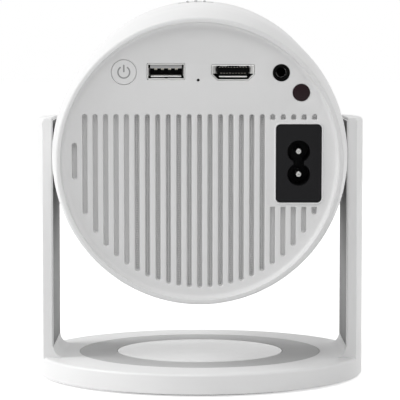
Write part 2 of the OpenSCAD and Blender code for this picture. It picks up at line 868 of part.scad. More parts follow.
module inlet_body() {
    cavity_depth = inlet_depth - inlet_floor;
    color([0.12, 0.12, 0.12]) in_drum() difference() {
        slab(inlet_x, inlet_v, panel_face - 0.2, panel_face + inlet_depth) round_rect(inlet_w, inlet_h, 1);
        slab(inlet_x, inlet_v, panel_face - over, panel_face + cavity_depth) figure_8(cavity_w, cavity_h);
        for (s = [-1, 1]) translate([inlet_x, panel_face, inlet_v + s * pin_pitch / 2])
            along_y() cylinder(r = pin_r, h = inlet_depth + over, $fn = 32);
    }
}

module inlet_pins() {
    color("silver") in_drum() for (s = [-1, 1])
        translate([inlet_x, panel_face + pin_inset, inlet_v + s * pin_pitch / 2]) along_y() {
            cylinder(r = pin_r, h = inlet_depth - pin_inset + pin_tail, $fn = 32);
            sphere(r = pin_r, $fn = 32);
        }
}

// Sweeps a round wire along a path: one ring of points at each point of the path
module wire(path, r, sides = 8) {
    ref = [1, 0.4, -1];             // a direction that no stretch of the path runs along
    last = len(path) - 1;
    function unit(a) = a / norm(a);
    rings = [for (i = [0:last])
        let (t = unit(path[min(i + 1, last)] - path[max(i - 1, 0)]), u = unit(cross(t, ref)), w = cross(t, u))
        [for (k = [0:sides - 1]) path[i] + r * (u * cos(360 * k / sides) + w * sin(360 * k / sides))]];
    polyhedron(
        [for (ring = rings) each ring],
        concat(
            [[for (k = [0:sides - 1]) k]],
            [for (i = [0:last - 1], k = [0:sides - 1])
                let (a = i * sides + k, b = i * sides + (k + 1) % sides) [a, a + sides, b + sides, b]],
            [[for (k = [sides - 1:-1:0]) last * sides + k]]));
}

module inlet_leads() {
    // Two wires from the inlet's pins down to the power board
    lead_y = panel_face + inlet_depth + pin_tail;
    run_y = power_rear + 1;
    color("dimgray") in_drum() for (s = [-1, 1]) {
        pin_v = inlet_v + s * pin_pitch / 2;
        drop_x = inlet_x + (s > 0 ? 4 : 0);
        end_x = 18 + 3 * s;
        wire([[inlet_x, lead_y, pin_v], [inlet_x, run_y, pin_v], [drop_x, run_y, inlet_v - 8],
              [drop_x - 3, run_y, -24], [end_x, run_y, power_v + 7], [end_x, run_y, power_top]], 0.9);
    }
}

module board_switches() {
    stem_end = panel_face + button_stem;
    color("black") in_drum() {
        span(-button_x - 3, -button_x + 3, stem_end + button_travel + 0.1, stem_end + 4.5,
             board_top, port_v + 2.5);
        span(reset_x - 1.8, reset_x + 1.8, panel_back + 1, panel_back + 4, board_top, board_top + 2.6);
    }
}

module power_button() {
    color("whitesmoke") in_drum() translate([-button_x, 0, port_v]) {
        along_y(panel_face) cylinder(r = button_r, h = panel_t + flange_gap + eps);
        along_y(panel_back + flange_gap) cylinder(r = button_r + flange_w, h = flange_t);
        along_y(panel_back) cylinder(r = 1.5, h = button_stem - panel_t);
    }
}

// ---------- Boards ----------

module board_screw_places() {
    for (x = [-board_screw_x, board_screw_x], back = [0, board_screw_pitch])
        translate([x, board_front - board_screw_inset - back, 0]) children();
}

module main_board() {
    notch = button_r + 1.2;         // half width of the room for the power button
    color("seagreen") in_drum() difference() {
        span(-board_x, board_x, board_rear, board_front, board_bottom, board_top);
        span(-button_x - notch, -button_x + notch, board_rear - over, panel_face + button_stem + 0.4,
             board_bottom - over, board_top + over);
        board_screw_places() translate([0, 0, board_bottom - over])
            cylinder(r = screw_r + seat, h = board_t + 2 * over, $fn = screw_fn);
    }
}

module board_chips() {
    color("black") in_drum() {
        for (c = chips)
            translate([c[0] - c[2] / 2, board_front - c[1] - c[3] / 2, board_top]) cube([c[2], c[3], c[4]]);
        for (x = [-22, -14, 14, 22])
            translate([x, board_front - 10, board_top]) cylinder(r = capacitor_r, h = capacitor_h, $fn = 32);
    }
}

module board_screws() {
    color("silver") in_drum() board_screw_places() {
        translate([0, 0, board_top]) cylinder(r = screw_head_r, h = screw_head_t, $fn = screw_fn);
        translate([0, 0, engine_h / 2 + 0.4])
            cylinder(r = screw_r, h = board_top - engine_h / 2 - 0.3, $fn = screw_fn);
    }
}

module power_board() {
    color("seagreen") in_drum()
        span(-power_side, power_side, power_rear, power_rear + power_l, power_v, power_top);
}

module power_board_parts() {
    color("orange") in_drum() translate([0, power_rear, power_top]) {
        for (p = round_parts) translate([p[0], p[1], 0]) cylinder(r = p[2], h = p[3], $fn = 48);
        for (p = square_parts) translate([p[0] - p[2] / 2, p[1] - p[3] / 2, 0]) cube([p[2], p[3], p[4]]);
    }
}

// ---------- Speaker ----------

module speaker_frame() {
    color("black") in_drum() difference() {
        slab(-speaker_x, speaker_v, speaker_y, speaker_y + speaker_t) round_rect(speaker_w, speaker_h, 4);
        slab(-speaker_x, speaker_v, speaker_y - over, speaker_y + speaker_cup)
            round_rect(speaker_w - 2 * speaker_rim, speaker_h - 2 * speaker_rim, 3);
    }
}

module speaker_cone() {
    cone_t = 1.4;
    color("dimgray") in_drum() difference() {
        slab(-speaker_x, speaker_v, speaker_y + speaker_cup - cone_t, speaker_y + speaker_cup)
            round_rect(speaker_w - 2 * speaker_rim, speaker_h - 2 * speaker_rim, 3);
        translate([-speaker_x, speaker_y + speaker_cup - 2, speaker_v]) along_y()
            cylinder(r1 = 5, r2 = 3, h = cone_t);
    }
}

// ---------- Fan and heat sink ----------

module fan_frame() {
    color([0.2, 0.2, 0.2]) in_drum() translate([0, 0, fan_v]) difference() {
        union() {
            difference() {
                slab(0, 0, fan_rear, fan_front) round_rect(fan_size, fan_size, 3);
                along_y(fan_rear - over) cylinder(r = fan_bore_r, h = fan_depth + 2 * over);
            }
            along_y(fan_front - fan_plate_t) cylinder(r = fan_hub_r, h = fan_plate_t);
            for (a = [45:90:315]) rotate([0, a, 0])
                span(fan_hub_r - 1, fan_bore_r + 1, fan_front - fan_plate_t, fan_front, -1, 1);
        }
        along_y(fan_rear) cylinder(r = fan_shaft_r + run, h = fan_depth + over, $fn = 32);
    }
}

module fan_rotor() {
    color([0.15, 0.15, 0.15]) in_drum() translate([0, 0, fan_v]) {
        along_y(fan_rear + 0.8) cylinder(r = fan_hub_r, h = fan_depth - 3);
        along_y(fan_rear + 2) cylinder(r = fan_shaft_r, h = fan_depth - 2, $fn = 32);
        intersection() {
            along_y(fan_rear + 0.8) cylinder(r = fan_bore_r - 0.7, h = fan_depth - 3);
            for (i = [0:fan_blades - 1]) rotate([0, i * 360 / fan_blades, 0])
                translate([fan_hub_r - 1, fan_rear + fan_depth / 2 - 0.7, 0]) rotate([blade_pitch, 0, 0])
                    translate([0, -blade_chord / 2, -blade_t / 2]) cube([fan_bore_r, blade_chord, blade_t]);
        }
    }
}

module heat_sink() {
    w = fan_size - 2;
    color("silver") in_drum() translate([0, 0, fan_v]) {
        span(-w / 2, w / 2, sink_front - sink_base_t, sink_front, -w / 2, w / 2);
        for (i = [0:fin_count - 1]) {
            x = -w / 2 + i * (w - fin_t) / (fin_count - 1);
            span(x, x + fin_t, fan_front, sink_front - sink_base_t + eps, -w / 2, w / 2);
        }
    }
}

// ---------- Light engine ----------

module led_board() {
    color("white") in_drum() {
        span(-led_w / 2, led_w / 2, sink_front, sink_front + board_t, -led_w / 2, led_w / 2);
        span(-led_chip_w / 2, led_chip_w / 2, sink_front + board_t, sink_front + board_t + 1,
             -led_chip_w / 2, led_chip_w / 2);
    }
}

module led_reflector() {
    back = sink_front + board_t;
    front_r = engine_h / 2 - engine_wall - 0.2;
    color("silver") in_drum() along_y(back) difference() {
        cylinder(r1 = 8, r2 = front_r, h = glass_y - back);
        translate([0, 0, -eps]) cylinder(r1 = 6.8, r2 = front_r - 1.2, h = glass_y - back + 2 * eps);
    }
}

module optic_plate(y, t) {
    slab(0, 0, y, y + t)
        square([engine_w - 2 * engine_wall - 2 * seat, engine_h - 2 * engine_wall - 2 * seat], center = true);
}

module heat_glass() { color("lightcyan") in_drum() optic_plate(glass_y, plate_t); }

module rear_fresnel() { color("lightcyan") in_drum() optic_plate(rear_fresnel_y, plate_t); }

module lcd_panel() { color("black") in_drum() optic_plate(lcd_y, lcd_t); }

module front_fresnel() { color("lightcyan") in_drum() optic_plate(front_fresnel_y, plate_t); }

module lcd_ribbon() {
    // Flat flexible cable from the display panel up to the main board
    y = lcd_y + lcd_t / 2;
    color("orange") in_drum() {
        span(-ribbon_w / 2, ribbon_w / 2, y, y + ribbon_t,
             engine_h / 2 - engine_wall - seat, board_top + 0.2);
        span(-ribbon_w / 2, ribbon_w / 2, board_front - 4, y + ribbon_t, board_top, board_top + ribbon_t);
    }
}

module engine_housing() {
    color([0.25, 0.25, 0.27]) in_drum() difference() {
        union() {
            span(-engine_w / 2, engine_w / 2, sink_front, engine_front, -engine_h / 2, engine_h / 2);
            span(-engine_ear_x, engine_ear_x, engine_front - ear_t, engine_front, -ear_v / 2, ear_v / 2);
            board_screw_places() translate([0, 0, engine_h / 2 - eps])
                cylinder(r = screw_head_r, h = post_h + eps, $fn = 32);
        }
        span(-engine_w / 2 + engine_wall, engine_w / 2 - engine_wall,
             sink_front + board_t, engine_front - ear_t,
             -engine_h / 2 + engine_wall, engine_h / 2 - engine_wall);
        span(-led_w / 2 - seat, led_w / 2 + seat, sink_front - over, sink_front + board_t + over,
             -led_w / 2 - seat, led_w / 2 + seat);
        along_y(engine_front - ear_t - over) cylinder(r = barrel_r - barrel_step + 1, h = ear_t + 2 * over);
        span(-ribbon_w / 2 - ribbon_t, ribbon_w / 2 + ribbon_t,
             lcd_y + lcd_t / 2 - ribbon_t, lcd_y + lcd_t / 2 + 2 * ribbon_t,
             engine_h / 2 - engine_wall - over, engine_h / 2 + over);
        for (s = [-1, 1]) translate([s * engine_screw_x, 0, 0]) along_y(engine_front - ear_t - over)
            cylinder(r = screw_r + seat, h = ear_t + 2 * over, $fn = screw_fn);
        board_screw_places() translate([0, 0, engine_h / 2 + 0.3])
            cylinder(r = screw_r, h = board_top - engine_h / 2, $fn = screw_fn);
    }
}

module engine_screws() {
    color("silver") in_drum() for (s = [-1, 1]) translate([s * engine_screw_x, 0, 0]) {
        along_y(engine_front) cylinder(r = screw_head_r, h = screw_head_t, $fn = screw_fn);
        along_y(engine_front - engine_screw_l)
            cylinder(r = screw_r, h = engine_screw_l + eps, $fn = screw_fn);
    }
}

// ---------- Lens and focus ----------

module lens_mount() {
    // Fixed tube with a flange on the engine housing and a lengthwise slot for the barrel's key
    color([0.18, 0.18, 0.18]) in_drum() difference() {
        union() {
            along_y(engine_front) cylinder(r = mount_r + mount_flange_w, h = mount_flange_t);
            along_y(engine_front) cylinder(r = mount_r, h = mount_front - engine_front);
        }
        along_y(engine_front - over) cylinder(r = barrel_r + run, h = mount_front - engine_front + 2 * over);
        span(-key_r - seat, key_r + seat, engine_front + mount_flange_t + 1, mount_front + over,
             -mount_r - over, 0);
    }
}

// Involute tooth outline: half angle of a tooth at radius r, for pitch radius p and base radius b
function involute(b, r) = let (a = acos(min(1, b / r))) tan(a) * 180 / PI - a;
function half_tooth(p, n, b, r) =
    90 / n - tooth_backlash / 4 / p * 180 / PI + involute(b, p) - involute(b, r);

module gear_outline(n, tip, root) {
    p = n * tooth_m / 2;
    b = p * cos(20);
    start = max(b, root);
    steps = 3;
    function at(r, a) = [r * cos(a), r * sin(a)];
    radii = [for (i = [0:steps]) start + (tip - start) * i / steps];
    polygon([for (k = [0:n - 1]) let (c = k * 360 / n) each concat(
        [at(root, c - half_tooth(p, n, b, start))],
        [for (i = [0:steps]) at(radii[i], c - half_tooth(p, n, b, radii[i]))],
        [for (i = [steps:-1:0]) at(radii[i], c + half_tooth(p, n, b, radii[i]))],
        [at(root, c + half_tooth(p, n, b, start))])]);
}

module focus_wheel() {
    pitch = wheel_teeth * tooth_m / 2;
    color("gray") in_drum() wheel_frame()
        slab(0, 0, wheel_rear, wheel_front) difference() {
            rotate(-90) gear_outline(wheel_teeth, wheel_tip, pitch - tooth_root);
            circle(wheel_pin_r + run, $fn = 32);
        }
}

module wheel_pin() {
    reach = ear_gap + wheel_ear_t;
    color("silver") in_drum() wheel_frame()
        along_y(wheel_rear - reach) cylinder(r = wheel_pin_r, h = wheel_w + 2 * reach, $fn = 32);
}

module focus_ring() {
    pitch = ring_teeth * tooth_m / 2;
    gap_up = 90 + 180 / ring_teeth;
    color("dimgray") in_drum() rotate([0, -wheel_angle, 0]) difference() {
        slab(0, 0, wheel_rear + 0.5, wheel_front - 0.5)
            rotate(gap_up) gear_outline(ring_teeth, pitch + tooth_m, pitch - tooth_root);
        along_y(wheel_rear) cylinder(r = mount_r + run, h = wheel_w);
    }
}

module lens_barrel() {
    rear = barrel_front - barrel_l;
    color([0.12, 0.12, 0.12]) in_drum() difference() {
        union() {
            along_y(barrel_front - barrel_head_l) cylinder(r = barrel_r, h = barrel_head_l);
            along_y(rear) cylinder(r = barrel_r - barrel_step, h = barrel_l - barrel_head_l + over);
            translate([0, barrel_front - lens_bay + over, 0]) rotate([180, 0, 0])
                cylinder(r = key_r, h = mount_r - 0.15, $fn = 24);
        }
        along_y(barrel_front - lens_bay) cylinder(r = lens_r, h = lens_bay + over);
        along_y(rear - over) cylinder(r = lens_r - barrel_step, h = barrel_l + 2 * over);
    }
}

// A lens with two round faces: edge thickness e and bulges b0 and b1 at its middle
module lens(r, e, b0, b1) {
    function bulge(b, x) = b * (1 - pow(x / r, 2));
    n = 8;
    rotate_extrude() polygon(concat(
        [for (i = [0:n]) [r * i / n, -bulge(b0, r * i / n)]],
        [for (i = [n:-1:0]) [r * i / n, e + bulge(b1, r * i / n)]]));
}

module front_lens() {
    color("lightblue") in_drum() along_y(barrel_front - front_lens_back)
        lens(lens_r - run, lens_edge, 1.6, 3);
}

module middle_lens() {
    color("lightblue") in_drum() along_y(barrel_front - middle_lens_back)
        lens(lens_r - barrel_step - run, lens_edge, 1.2, 1.2);
}

module rear_lens() {
    color("lightblue") in_drum() along_y(barrel_front - barrel_l + rear_lens_inset)
        lens(lens_r - barrel_step - run, lens_edge, 1.8, 1.8);
}

stand_frame();
base_ring_inlay();
base_centre_disc();
base_weight();
base_cover();
foot_ring();
base_screws();
left_arm_cover();
right_arm_cover();
left_pivot_stud();
right_pivot_stud();
friction_washers();
pivot_nuts();
drum_shell();
front_bezel();
front_fascia();
rear_panel();
dust_filter();
pivot_bushes();
usb_shell();
usb_tongue();
hdmi_shell();
hdmi_tongue();
audio_jack();
ir_window();
ir_receiver();
inlet_body();
inlet_pins();
inlet_leads();
board_switches();
main_board();
board_chips();
board_screws();
power_board();
power_board_parts();
speaker_frame();
speaker_cone();
fan_frame();
heat_sink();
led_board();
led_reflector();
heat_glass();
rear_fresnel();
lcd_panel();
lcd_ribbon();
front_fresnel();
engine_housing();
engine_screws();
lens_mount();
wheel_pin();
power_button();
fan_rotor();
focus_wheel();
focus_ring();
lens_barrel();
front_lens();
middle_lens();
rear_lens();
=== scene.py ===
"""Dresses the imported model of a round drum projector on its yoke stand, and sets up a plain studio."""
import json
import math

import bmesh
import bpy
import numpy as np
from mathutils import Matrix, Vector
from mathutils.geometry import delaunay_2d_cdt


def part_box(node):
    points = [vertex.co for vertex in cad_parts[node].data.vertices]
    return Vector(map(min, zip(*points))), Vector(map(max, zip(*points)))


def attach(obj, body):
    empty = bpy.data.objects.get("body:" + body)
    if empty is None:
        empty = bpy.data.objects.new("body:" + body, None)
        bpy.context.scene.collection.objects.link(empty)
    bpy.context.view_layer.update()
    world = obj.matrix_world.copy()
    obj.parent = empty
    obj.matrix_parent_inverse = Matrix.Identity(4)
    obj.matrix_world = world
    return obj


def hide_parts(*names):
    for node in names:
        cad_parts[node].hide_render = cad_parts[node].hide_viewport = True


bl_info = {
    "name": "Drum Projector Dresser",
    "version": (1, 0, 0),
    "blender": (4, 5, 0),
    "location": "3D View > Sidebar > Projector",
    "description": "Soft edges, fine detail, finishes and a studio for the packed drum projector",
    "category": "Object",
}

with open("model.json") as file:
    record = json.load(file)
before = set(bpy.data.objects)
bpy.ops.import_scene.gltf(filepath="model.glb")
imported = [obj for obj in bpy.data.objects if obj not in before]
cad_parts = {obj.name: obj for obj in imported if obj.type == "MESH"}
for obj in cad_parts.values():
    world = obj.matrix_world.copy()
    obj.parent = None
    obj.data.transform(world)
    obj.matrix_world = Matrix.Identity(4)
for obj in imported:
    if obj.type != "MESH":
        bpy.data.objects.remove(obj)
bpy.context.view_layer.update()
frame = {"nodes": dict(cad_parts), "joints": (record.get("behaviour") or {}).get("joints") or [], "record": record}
MM = 0.001


# ---------- Frame: places inside the drum ----------

JOINTS = {joint["name"]: joint for joint in frame["joints"]}
PIVOT = np.array(JOINTS["drum_tilt"]["pos_m"], float)
LENS_AXIS = np.array(JOINTS["lens_slide"]["axis"], float)
LENS_AXIS /= np.linalg.norm(LENS_AXIS)
SIDE = np.array([1.0, 0.0, 0.0])
DRUM_BASIS = np.stack([SIDE, LENS_AXIS, np.cross(SIDE, LENS_AXIS)])


def from_drum(points):
    """Row-frame places of points given across, along and up inside the tilted drum."""
    return np.asarray(points, float) @ DRUM_BASIS + PIVOT


def node_points(node):
    """All vertices of a CAD node, in the row frame."""
    mesh = frame["nodes"][node].data
    points = np.empty(len(mesh.vertices) * 3)
    mesh.vertices.foreach_get("co", points)
    return points.reshape(-1, 3)


def drum_span(node):
    """Lowest and highest place of a CAD node, measured across, along and up inside the drum."""
    points = (node_points(node) - PIVOT) @ DRUM_BASIS.T
    return points.min(0), points.max(0)


# ---------- Settings ----------

class ProjectorFinishes(bpy.types.PropertyGroup):
    """Colours of the visible surfaces"""
    casing: bpy.props.FloatVectorProperty(
        name="Casing", description="White satin plastic of the drum and the stand",
        subtype="COLOR", size=3, min=0, max=1, default=(0.84, 0.84, 0.84))
    panel: bpy.props.FloatVectorProperty(
        name="Rear panel", description="Matt plastic of the slotted rear panel",
        subtype="COLOR", size=3, min=0, max=1, default=(0.77, 0.77, 0.77))
    ring: bpy.props.FloatVectorProperty(
        name="Base ring", description="Grey ring let into the base",
        subtype="COLOR", size=3, min=0, max=1, default=(0.50, 0.50, 0.50))
    black: bpy.props.FloatVectorProperty(
        name="Black plastic", description="Moulded black plastic of the inlet, jack and engine",
        subtype="COLOR", size=3, min=0, max=1, default=(0.011, 0.011, 0.012))
    filter_mesh: bpy.props.FloatVectorProperty(
        name="Dust filter", description="Woven filter behind the slots",
        subtype="COLOR", size=3, min=0, max=1, default=(0.70, 0.70, 0.70))


class ProjectorDetail(bpy.types.PropertyGroup):
    """Sizes of the fine shapes"""
    slot_lip: bpy.props.FloatProperty(
        name="Slot lip", description="Radius of the rounded lip round each slot",
        unit="LENGTH", default=0.00022)
    arm_edge: bpy.props.FloatProperty(
        name="Arm edge", description="Radius of the rounded edges of the arms",
        unit="LENGTH", default=0.0004)
    button_dish: bpy.props.FloatProperty(
        name="Button dish", description="How far the middle of the power button is hollowed",
        unit="LENGTH", default=0.00018)
    mark_width: bpy.props.FloatProperty(
        name="Mark width", description="Width of the lines of the power symbol",
        unit="LENGTH", default=0.0005)


class ProjectorStudio(bpy.types.PropertyGroup):
    """Camera and light"""
    distance: bpy.props.FloatProperty(
        name="Camera distance", description="From the middle of the foot to the camera, along the floor",
        unit="LENGTH", default=0.79734)
    height: bpy.props.FloatProperty(
        name="Camera height", description="Above the floor", unit="LENGTH", default=0.1199)
    pitch: bpy.props.FloatProperty(
        name="Camera pitch", description="How far the camera looks down",
        subtype="ANGLE", default=math.radians(4.089))
    lens: bpy.props.FloatProperty(
        name="Focal length", description="In millimetres, on a 36 mm wide frame", default=197.83)
    key_power: bpy.props.FloatProperty(
        name="Key light", description="Soft light high at the left, level with the drum's back",
        subtype="POWER", default=4.3)
    side_power: bpy.props.FloatProperty(
        name="Side light", description="Soft light at the left, a little in front",
        subtype="POWER", default=2.7)
    front_power: bpy.props.FloatProperty(
        name="Front light", description="Soft light above the camera", subtype="POWER", default=2.65)
    fill_power: bpy.props.FloatProperty(
        name="Fill light", description="Soft light low at the right", subtype="POWER", default=1.6)
    back_power: bpy.props.FloatProperty(
        name="Back light", description="Soft light low behind the lens side", subtype="POWER",
        default=1.5)
    ambient: bpy.props.FloatProperty(
        name="Ambient", description="Even light of the white room", default=0.38)


# ---------- Materials ----------

GROUPS = {}
FINISHES = {}


def fill(tree, sockets, values):
    """Sets each input, by its name or number, to a value, or links it to another node's output."""
    for key, value in values.items():
        if isinstance(value, bpy.types.NodeSocket):
            tree.links.new(value, sockets[key])
        else:
            sockets[key].default_value = value


def add(tree, kind, inputs, **settings):
    """A new node: its settings first, then its inputs."""
    node = tree.nodes.new("ShaderNode" + kind)
    for key, value in settings.items():
        setattr(node, key, value)
    fill(tree, node.inputs, inputs)
    return node


def calculate(tree, operation, *values):
    """One Math node on numbers or on other nodes' outputs."""
    return add(tree, "Math", dict(enumerate(values)), operation=operation).outputs[0]


def ramp(tree, value, low, high, to_low=0.0, to_high=1.0):
    """Value, drawn out from between low and high to between to_low and to_high."""
    return add(tree, "MapRange", {"Value": value, "From Min": low, "From Max": high, "To Min": to_low,
                                  "To Max": to_high}).outputs["Result"]


def mixed(tree, share, first, second):
    """The first colour where the share is 0, and the second where it is 1."""
    return add(tree, "Mix", {"Factor": share, 6: first, 7: second}, data_type="RGBA").outputs[2]


def new_group(name, inputs, outputs):
    """A shader node group with named sockets: the group, what it is given and what it puts out."""
    group = bpy.data.node_groups.new(name, "ShaderNodeTree")
    for label, kind, default in [("Vector", "Vector", (0, 0, 0)), *inputs]:
        socket = group.interface.new_socket(name=label, in_out="INPUT", socket_type="NodeSocket" + kind)
        socket.default_value = default
    for label, kind in outputs:
        group.interface.new_socket(name=label, in_out="OUTPUT", socket_type="NodeSocket" + kind)
    return group, group.nodes.new("NodeGroupInput").outputs, group.nodes.new("NodeGroupOutput").inputs


def grain_group():
    """Moulded grain: a fine spark-eroded texture over the slow waviness of a moulded wall."""
    group, given, result = new_group(
        "Moulded Grain", [("Grain Size", "Float", 0.00035), ("Waviness", "Float", 0.3)],
        [("Height", "Float")])
    scale = calculate(group, "DIVIDE", 1.0, given["Grain Size"])
    grain = add(group, "TexNoise", {"Vector": given["Vector"], "Scale": scale, "Detail": 2.0})
    slow = add(group, "TexNoise", {"Vector": given["Vector"], "Scale": 55.0, "Detail": 1.0})
    wave = calculate(group, "MULTIPLY", slow.outputs["Fac"], given["Waviness"])
    fill(group, result, {"Height": calculate(group, "ADD", grain.outputs["Fac"], wave)})
    return group


def handling_group():
    """Handling: faint smears that shift the colour and the roughness a little."""
    group, given, result = new_group(
        "Handling Smears",
        [("Color", "Color", (0.8, 0.8, 0.8, 1)), ("Smear", "Color", (0.6, 0.59, 0.57, 1)),
         ("Amount", "Float", 0.05), ("Roughness", "Float", 0.45), ("Spread", "Float", 0.08)],
        [("Color", "Color"), ("Roughness", "Float")])
    cloud = add(group, "TexNoise", {"Vector": given["Vector"], "Scale": 38.0, "Detail": 6.0,
                                    "Roughness": 0.62})
    smeared = ramp(group, cloud.outputs["Fac"], 0.42, 0.72)
    share = calculate(group, "MULTIPLY", smeared, given["Amount"])
    fill(group, result, {
        "Color": mixed(group, share, given["Color"], given["Smear"]),
        "Roughness": calculate(group, "MULTIPLY_ADD", smeared, given["Spread"], given["Roughness"])})
    return group


def brushed_group():
    """Brushed lines: noise drawn out along one direction."""
    group, given, result = new_group(
        "Brushed Lines", [("Line Width", "Float", 0.0001), ("Stretch", "Vector", (0.03, 1.0, 1.0))],
        [("Height", "Float"), ("Streaks", "Float")])
    drawn = add(group, "VectorMath", {0: given["Vector"], 1: given["Stretch"]}, operation="MULTIPLY")
    scale = calculate(group, "DIVIDE", 1.0, given["Line Width"])
    lines = add(group, "TexNoise", {"Vector": drawn.outputs[0], "Scale": scale, "Detail": 3.0})
    height = lines.outputs["Fac"]
    fill(group, result, {"Height": height, "Streaks": ramp(group, height, 0.0, 1.0, 0.22, 0.46)})
    return group


def weave_group():
    """Open weave: two families of threads that cross, as a mask and a height."""
    group, given, result = new_group(
        "Open Weave", [("Thread Pitch", "Float", 0.0006)], [("Threads", "Float"), ("Height", "Float")])
    turns = calculate(group, "DIVIDE", math.tau, given["Thread Pitch"])
    place = add(group, "SeparateXYZ", {0: given["Vector"]}).outputs
    waves = [calculate(group, "SINE", calculate(group, "MULTIPLY", place[axis], turns))
             for axis in ("X", "Z")]
    top = calculate(group, "MAXIMUM", *waves)
    fill(group, result, {"Threads": ramp(group, top, 0.1, 0.5), "Height": top})
    return group


def board_group():
    """Board tracks: straight copper tracks and round pads that show through the solder mask."""
    group, given, result = new_group(
        "Board Tracks", [("Track Pitch", "Float", 0.0025)], [("Tracks", "Float"), ("Pads", "Float")])
    source = {"Vector": given["Vector"], "Scale": calculate(group, "DIVIDE", 1.0, given["Track Pitch"])}
    cells = add(group, "TexVoronoi", source, feature="F1", distance="CHEBYCHEV").outputs["Distance"]
    dots = add(group, "TexVoronoi", source, feature="F1").outputs["Distance"]
    fill(group, result, {"Tracks": ramp(group, cells, 0.40, 0.44), "Pads": ramp(group, dots, 0.20, 0.16)})
    return group


def build_groups():
    """All node groups by name, each built once."""
    return {"grain": grain_group(), "handling": handling_group(), "brushed": brushed_group(),
            "weave": weave_group(), "board": board_group()}


def new_material(slot):
    """An empty material: its tree, its shader's inputs and its Object coordinates."""
    material = bpy.data.materials.new(slot.replace("_", " ").capitalize())
    material.use_nodes = True
    tree = material.node_tree
    place = tree.nodes.new("ShaderNodeTexCoord").outputs["Object"]
    return material, tree, tree.nodes["Principled BSDF"].inputs, place


def use(tree, group, place, **values):
    """Places a group in a material; an underscore in a value's name stands for a space."""
    node = tree.nodes.new("ShaderNodeGroup")
    node.node_tree = GROUPS[group]
    named = {key.replace("_", " "): value for key, value in values.items()}
    fill(tree, node.inputs, {"Vector": place, **named})
    return node.outputs


def bump(tree, height, depth, strength):
    """The normal of a bump of a given depth in metres."""
    return add(tree, "Bump", {"Height": height, "Distance": depth, "Strength": strength}).outputs["Normal"]


def grey(level):
    """A neutral colour."""
    return (level, level, level)


def dimmed(colour, share):
    """A colour taken down to a share of itself, opaque."""
    return (*(share * part for part in colour), 1)


def moulded(slot, colour, roughness, smear=0.05, grain=0.00035, depth=0.000012, coat=0.0, shine=0.5):
    """Moulded plastic: satin colour with faint smears over a fine grain."""
    material, tree, shader, place = new_material(slot)
    skin = use(tree, "handling", place, Color=(*colour, 1), Amount=smear, Roughness=roughness,
               Smear=dimmed(colour, 0.72))
    texture = use(tree, "grain", place, Grain_Size=grain)
    fill(tree, shader, {
        "Base Color": skin["Color"], "Roughness": skin["Roughness"],
        "Normal": bump(tree, texture["Height"], depth, 0.5),
        "Specular IOR Level": shine, "Coat Weight": coat, "Coat Roughness": 0.08})
    return material


def metal(slot, colour, line_width, stretch, depth=0.000003, smear=0.15):
    """Plated or turned metal with fine drawn lines."""
    material, tree, shader, place = new_material(slot)
    skin = use(tree, "handling", place, Color=(*colour, 1), Amount=smear, Smear=dimmed(colour, 0.6))
    lines = use(tree, "brushed", place, Line_Width=line_width, Stretch=stretch)
    fill(tree, shader, {
        "Metallic": 1.0, "Base Color": skin["Color"], "Roughness": lines["Streaks"],
        "Normal": bump(tree, lines["Height"], depth, 0.4)})
    return material


def clear(slot, colour):
    """Clear glass with a trace of handling on its surface."""
    material, tree, shader, place = new_material(slot)
    skin = use(tree, "handling", place, Roughness=0.02, Spread=0.03)
    fill(tree, shader, {
        "Base Color": (*colour, 1), "Transmission Weight": 1.0, "IOR": 1.5,
        "Roughness": skin["Roughness"]})
    return material


def woven(slot, colour, pitch):
    """Woven filter cloth: light threads over darker holes."""
    material, tree, shader, place = new_material(slot)
    weave = use(tree, "weave", place, Thread_Pitch=pitch)
    fill(tree, shader, {
        "Base Color": mixed(tree, weave["Threads"], dimmed(colour, 0.62), (*colour, 1)),
        "Roughness": 0.85, "Normal": bump(tree, weave["Height"], 0.0001, 0.6)})
    return material


def circuit(slot, mask_colour, copper):
    """Circuit board: tracks under a glossy solder mask, with tinned pads."""
    material, tree, shader, place = new_material(slot)
    board = use(tree, "board", place)
    mask = mixed(tree, board["Tracks"], (*mask_colour, 1), dimmed(mask_colour, 1.9))
    fill(tree, shader, {
        "Base Color": mixed(tree, board["Pads"], mask, (*copper, 1)), "Metallic": board["Pads"],
        "Roughness": 0.35, "Normal": bump(tree, board["Tracks"], 0.00003, 0.5)})
    return material


